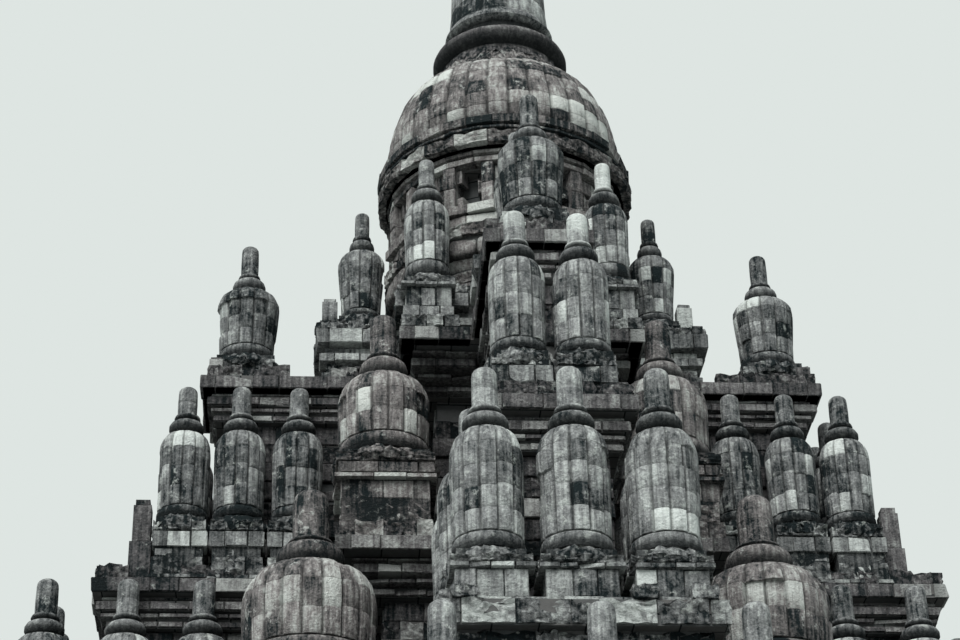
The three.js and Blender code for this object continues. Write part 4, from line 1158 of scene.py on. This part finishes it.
# The last value of each course is painted shade: the two upper courses of the rim are painted darker.
for z0, z1, radius, number, front, shade in (
        (2.79, 2.91, 2.19, 26, "worn", 0.0), (2.96, 3.04, 2.18, 26, "worn", 0.0),
        (3.08, 3.34, 2.37, 24, "carved", 0.0), (3.4, 3.46, 2.34, 28, "worn", 0.3),
        (3.51, 3.69, 2.36, 30, "worn", 0.3)):
    lay_round(pile, drum_foot + z0, drum_foot + z1, radius, number, front, shade=shade)
for k in range(8):
    angle = (k + 0.5) * niche_spacing - math.pi / 2
    outward = np.array((math.cos(angle), math.sin(angle), 0.0))
    along = np.array((-outward[1], outward[0], 0.0))
    wall = outward * drum_radius + inward * axis_y
    for sign in (-1, 1):
        for part in range(2):
            start = wall + along * (sign * 0.36 - 0.11) + upward * (niche_floor + 0.44 * part)
            put_stone(pile, "worn", start, along, outward, 0.22, 0.43, 0.12, chance.uniform(0.25, 0.5))
    for reach, tone in ((-0.5, 0.4), (0.0, 0.95 if k == 7 else 0.45)):
        start = wall + along * reach + upward * (niche_floor - 0.2)
        put_stone(pile, "worn", start, along, outward, 0.5, 0.18, 0.2, tone)
finish_piece("drum_facing", pile, "brown_andesite")

# The crowning ratna: a great bell of upright staves in courses under a rough neck, a dark ring, and the
# spire, whose foot flares out over the ring and whose top is rounded as those of the small finials are.


def stave_rings(low, high, number, profile, joint_depth, shares=()):
    """The rings of some courses of staves, each with a fine joint at its foot."""
    rings = []
    for c in range(number):
        z0, z1 = (low + (high - low) * (c + end) / number for end in (0, 1))
        for z in (z0, z0 + 0.012, *(z0 + (z1 - z0) * share for share in shares), z1 - 0.012):
            rings.append((z, float(np.interp(z, *profile)) - (joint_depth if z == z0 else 0.0), f"urn{c}"))
    return rings


bell_foot, bell_shoulder, bell_top, bell_courses = 0.05, 1.9, 2.3, 6
bell_profile = ((0.04, 0.18, 0.6, 1.0, 1.3, 1.55, 1.72, 1.84, 1.9),
                (2.12, 2.2, 2.19, 2.1, 2.0, 1.88, 1.76, 1.58, 1.44))
rings = [(0.0, 2.05, "rim"), (0.03, 2.1, "rim")]
rings += stave_rings(bell_foot, bell_shoulder, bell_courses, bell_profile, 0.008, (0.5,))
rings += [(bell_shoulder + 0.01, 1.34, "cushion"), (bell_shoulder + 0.12, 1.3, "cushion"),
          (bell_shoulder + 0.24, 1.27, "cushion"), (bell_top, 1.2, "cushion")]
bell = model_urn(rings, 34, 0.02)
# The lowest course of staves is made darker still.
bell["painted_shade_and_grime"][bell["points"][:, 2] < bell_foot + (bell_shoulder - bell_foot) / bell_courses] += 0.3
pile = []
put_urn(pile, bell, 0, axis_y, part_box("crown_bell")[0].z, worn=0.14, lean=0.0, deepest=0.02)
finish_piece("crowning_bell", pile, "brown_andesite", "crown_bell")

rings = [(0.0, 1.18, "cushion"), (0.14, 1.16, "cushion"), (0.24, 1.13, "hollow")]
rings += round_ring(0.45, 0.2, 1.1, 1.31, 8) + [(0.66, 0.95, "hollow"), (0.749, 0.92, "hollow")]
pile = []
put_urn(pile, model_urn(rings, 18, 0.0), 0, axis_y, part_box("crown_ring")[0].z, lean=0.0)
finish_piece("crowning_ring", pile, "dark_andesite", "crown_ring")

spire_height = spire_high.z - spire_low.z
rings = [(0.0, 0.92, "hollow"), (0.2, 0.92, "hollow"), (0.27, 1.03, "rim"), (0.3, 1.065, "rim"),
         (0.34, 1.06, "rim"), (0.44, 1.01, "rim")]
rings += stave_rings(0.5, spire_height - 0.7, 5, ((0.5, 0.8, spire_height - 0.6), (0.98, 0.945, 0.87)), 0.006)
rings += [(spire_height - share * 0.9, reach, "rim")
          for share, reach in ((0.7, 0.86), (0.4, 0.8), (0.2, 0.68), (0.07, 0.46), (0.0, 0.12))]
pile = []
put_urn(pile, model_urn(rings, 12, 0.004), 0, axis_y, spire_low.z, 0.4, worn=0.04, lean=0.0, slip=0.0)
finish_piece("crowning_spire", pile, "grey_andesite", "crown_spire")

# The porch roof: a slab of three block courses over the porch walls, each stepping further out, with
# three ratnas along its front edge.
pile = []
porch_wall_top, porch_roof_top = 8.6, 9.4
put_block(pile, (-porch_half, axis_y - porch_front, porch_wall_top),
          (porch_half, axis_y - porch_back - 0.001, porch_roof_top - 0.01), 0.5, 0.15)
for turn, (z0, z1, step, front) in enumerate(((0.0, 0.19, 0.06, "worn"), (0.21, 0.44, 0.18, "carved"),
                                              (0.46, 0.8, 0.33, "worn"))):
    lay_course(pile, porch_outline(step), porch_wall_top + z0, porch_wall_top + z1, 0.0, 0.6, front, turn)
for x in (-1.9, 0.0, 1.9):
    put_ratna(pile, "porch", x, axis_y - porch_front + 0.25, porch_roof_top, 0.5)
finish_piece("porch_roof_and_ratnas", pile, "grey_andesite", "porch_roof")

# A plain pale floor, an even pale sky and one broad soft light from above.
bpy.ops.object.select_all(action="DESELECT")
bpy.ops.mesh.primitive_plane_add(size=400, location=(0, 0, 0))
floor = bpy.context.object
floor.name = "floor"
floor_material = bpy.data.materials.new("plain pale floor")
floor_material.use_nodes = True
floor_material.node_tree.nodes["Principled BSDF"].inputs["Base Color"].default_value = linear("#a9adaa")
floor.data.materials.append(floor_material)

world = bpy.data.worlds.new("overcast sky")
bpy.context.scene.world = world
world.use_nodes = True
sky_tree = world.node_tree
sky_tree.nodes.clear()
seen = add_node(sky_tree, "ShaderNodeLightPath")["Is Camera Ray"]
sky = add_node(sky_tree, "ShaderNodeBackground", {"Color": linear("#dee5e2"), "Strength": 1.0})[0]
fill = add_node(sky_tree, "ShaderNodeBackground", {"Color": linear("#d3dee0"), "Strength": 0.5})[0]
both = add_node(sky_tree, "ShaderNodeMixShader", None, {0: seen, 1: fill, 2: sky})[0]
add_node(sky_tree, "ShaderNodeOutputWorld", None, {"Surface": both})
sun = bpy.data.objects.new("soft light", bpy.data.lights.new("soft light", "SUN"))
sun.data.energy = 3.8
sun.data.angle = math.radians(50)
sun.rotation_euler = (math.radians(40), math.radians(-22), 0)
bpy.context.scene.collection.objects.link(sun)
bpy.context.scene.view_settings.view_transform = "Standard"
